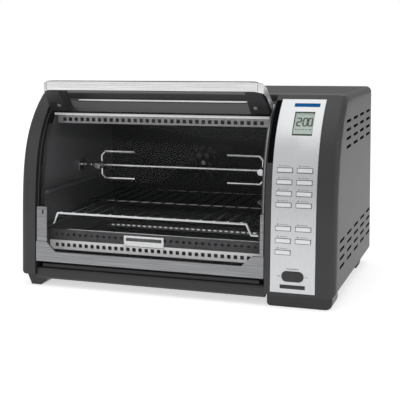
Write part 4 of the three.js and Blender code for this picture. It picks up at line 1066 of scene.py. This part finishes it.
class OVEN_OT_rotisserie(bpy.types.Operator):
    """Finish the spit, its forks and drive socket and add its rings"""

    bl_idname = "oven.rotisserie"
    bl_label = "Rotisserie"

    def execute(self, context):
        for node in ("spit_rod", "spit_fork_left", "spit_fork_right"):
            dress(node, "chrome")
        dress("spit_drive_socket", "zinc", sizes().sheet_edge)
        self.spit_rings()
        return {"FINISHED"}

    def spit_rings(self):
        """Two turned rings near the left end of the spit."""
        low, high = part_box("spit_rod")
        centre = middle("spit_rod")
        radius = (high[2] - low[2]) / 2 + 1.5 * MM
        length = 4 * MM
        rings = []
        for inset in (12 * MM, 25 * MM):
            place = (low[0] + inset, centre.y, centre.z)
            ring = drum("ring", place, (1, 0, 0), radius, length, 20)
            soften(ring, 0.8 * MM)
            rings.append(ring)
        close_up(merge("spit_rings", rings), "chrome", "spit")


class OVEN_OT_rack(bpy.types.Operator):
    """Finish the wire rack and the crumb tray"""

    bl_idname = "oven.rack"
    bl_label = "Rack and tray"

    def execute(self, context):
        dress("wire_rack", "rack")
        dress("crumb_tray", "tray")
        return {"FINISHED"}


class OVEN_OT_works(bpy.types.Operator):
    """Finish the fan, the motors and the cord gland"""

    bl_idname = "oven.works"
    bl_label = "Fan and motors"

    def execute(self, context):
        for node in ("convection_fan", "fan_motor", "spit_motor"):
            dress(node, "zinc", sizes().sheet_edge)
        dress("cord_gland", "rubber", sizes().sheet_edge)
        return {"FINISHED"}


# ---------------------------------------------------------------- stage

CAMERA_PLACE = (0.5586, -1.5743, 0.4491)
CAMERA_TURN = math.radians(19.618)
CAMERA_TILT = math.radians(-7.327)
CAMERA_ROLL = math.radians(-0.76)
CAMERA_LENS = 80.99
CAMERA_SENSOR = 36
CAMERA_SHIFT = -0.125

# Each soft panel's name, place, aim, width in metres and watts.
PANELS = (
    ("overhead", (0.1, -0.4, 2.2), (0, -0.05, 0.2), 2.4, 15),
    ("front_left", (-1.6, -2.2, 1.3), (0, 0, 0.2), 1.6, 7),
    ("right", (2.2, -0.6, 1.1), (0.1, 0, 0.2), 1.4, 5.5),
)
# The room's strength low down and straight above, and the height where it starts to rise.
ROOM_LOW, ROOM_HIGH, ROOM_START = 0.42, 0.72, -0.1


class OVEN_OT_stage(bpy.types.Operator):
    """Add the pale floor, the soft lights and the camera"""

    bl_idname = "oven.stage"
    bl_label = "Stage"

    def execute(self, context):
        self.floor()
        self.room()
        self.panels()
        self.camera()
        context.scene.view_settings.view_transform = "Standard"
        return {"FINISHED"}

    def floor(self):
        """A wide sheet of white paper, lit a little by itself so that it stays white."""
        deselect()
        bpy.ops.mesh.primitive_plane_add(size=2 * sizes().floor_size, location=(0, 0, 0))
        floor = bpy.context.object
        floor.name = "stage_floor"
        settle(floor)
        material, shader = start_material("matt_white_backdrop_paper", "#d8d8d8", 0.0, 0.9, **{
            "Emission Color": (1, 1, 1, 1), "Emission Strength": 0.6})
        noise = stretched_noise(material, (0.5, 0.5, 0.5), 2.0)
        vary_colour(material, shader, noise, "#d6d6d6", "#dadada")
        floor.data.materials.append(material)

    def room(self):
        """A room that is darker low down, and plain white to the camera."""
        world = bpy.data.worlds.new("studio")
        world.use_nodes = True
        room = world.node_tree.nodes["Background"]
        place = add_node(world, "ShaderNodeTexCoord")
        split = add_node(world, "ShaderNodeSeparateXYZ", {}, {0: place.outputs["Generated"]})
        height = add_node(
            world, "ShaderNodeMapRange",
            {"From Min": ROOM_START, "To Min": ROOM_LOW, "To Max": ROOM_HIGH},
            {"Value": split.outputs["Z"]})
        world.node_tree.links.new(height.outputs["Result"], room.inputs["Strength"])
        room.inputs["Color"].default_value = (1, 1, 1, 1)
        white = add_node(world, "ShaderNodeBackground", {"Strength": 1.0, "Color": (1, 1, 1, 1)})
        ray = add_node(world, "ShaderNodeLightPath")
        both = add_node(world, "ShaderNodeMixShader", {}, {
            0: ray.outputs["Is Camera Ray"], 1: room.outputs[0], 2: white.outputs[0]})
        output = world.node_tree.nodes["World Output"]
        world.node_tree.links.new(both.outputs[0], output.inputs["Surface"])
        bpy.context.scene.world = world

    def panels(self):
        """The soft square lights."""
        for name, place, target, size, power in PANELS:
            bpy.ops.object.light_add(type="AREA", location=place)
            light = bpy.context.object
            light.name = name
            light.data.shape = "SQUARE"
            light.data.size = size
            light.data.energy = power
            aim = Vector(target) - Vector(place)
            light.rotation_euler = aim.to_track_quat("-Z", "Y").to_euler()

    def camera(self):
        """The camera of the photograph."""
        forward = Vector((-math.sin(CAMERA_TURN) * math.cos(CAMERA_TILT),
                          math.cos(CAMERA_TURN) * math.cos(CAMERA_TILT),
                          math.sin(CAMERA_TILT)))
        level = Vector((math.cos(CAMERA_TURN), math.sin(CAMERA_TURN), 0))
        upright = level.cross(forward)
        right = level * math.cos(CAMERA_ROLL) + upright * math.sin(CAMERA_ROLL)
        up = upright * math.cos(CAMERA_ROLL) - level * math.sin(CAMERA_ROLL)
        bpy.ops.object.camera_add()
        camera = bpy.context.object
        camera.matrix_world = Matrix((
            (right.x, up.x, -forward.x, CAMERA_PLACE[0]),
            (right.y, up.y, -forward.y, CAMERA_PLACE[1]),
            (right.z, up.z, -forward.z, CAMERA_PLACE[2]),
            (0, 0, 0, 1)))
        camera.data.lens = CAMERA_LENS
        camera.data.sensor_width = CAMERA_SENSOR
        camera.data.shift_y = CAMERA_SHIFT
        bpy.context.scene.camera = camera


# ---------------------------------------------------------------- panel and registration

PIECES = (
    OVEN_OT_stage,
    OVEN_OT_casing,
    OVEN_OT_controls,
    OVEN_OT_display,
    OVEN_OT_door,
    OVEN_OT_handle,
    OVEN_OT_cavity,
    OVEN_OT_rotisserie,
    OVEN_OT_rack,
    OVEN_OT_works,
)


class OVEN_PT_panel(bpy.types.Panel):
    """Lists the oven's operators and settings"""

    bl_idname = "OVEN_PT_panel"
    bl_label = "Toaster oven"
    bl_space_type = "VIEW_3D"
    bl_region_type = "UI"
    bl_category = "Oven"

    def draw(self, context):
        for group in (context.scene.oven_sizes, context.scene.oven_colours):
            for name in group.__annotations__:
                self.layout.prop(group, name)
        for piece in PIECES:
            self.layout.operator(piece.bl_idname)


CLASSES = (OvenSizes, OvenColours, *PIECES, OVEN_PT_panel)


def register():
    for item in CLASSES:
        bpy.utils.register_class(item)
    bpy.types.Scene.oven_sizes = bpy.props.PointerProperty(type=OvenSizes)
    bpy.types.Scene.oven_colours = bpy.props.PointerProperty(type=OvenColours)


def unregister():
    del bpy.types.Scene.oven_colours
    del bpy.types.Scene.oven_sizes
    for item in reversed(CLASSES):
        bpy.utils.unregister_class(item)


def main():
    register()
    for piece in PIECES:
        group, name = piece.bl_idname.split(".")
        getattr(getattr(bpy.ops, group), name)()


if __name__ == "__main__":
    main()
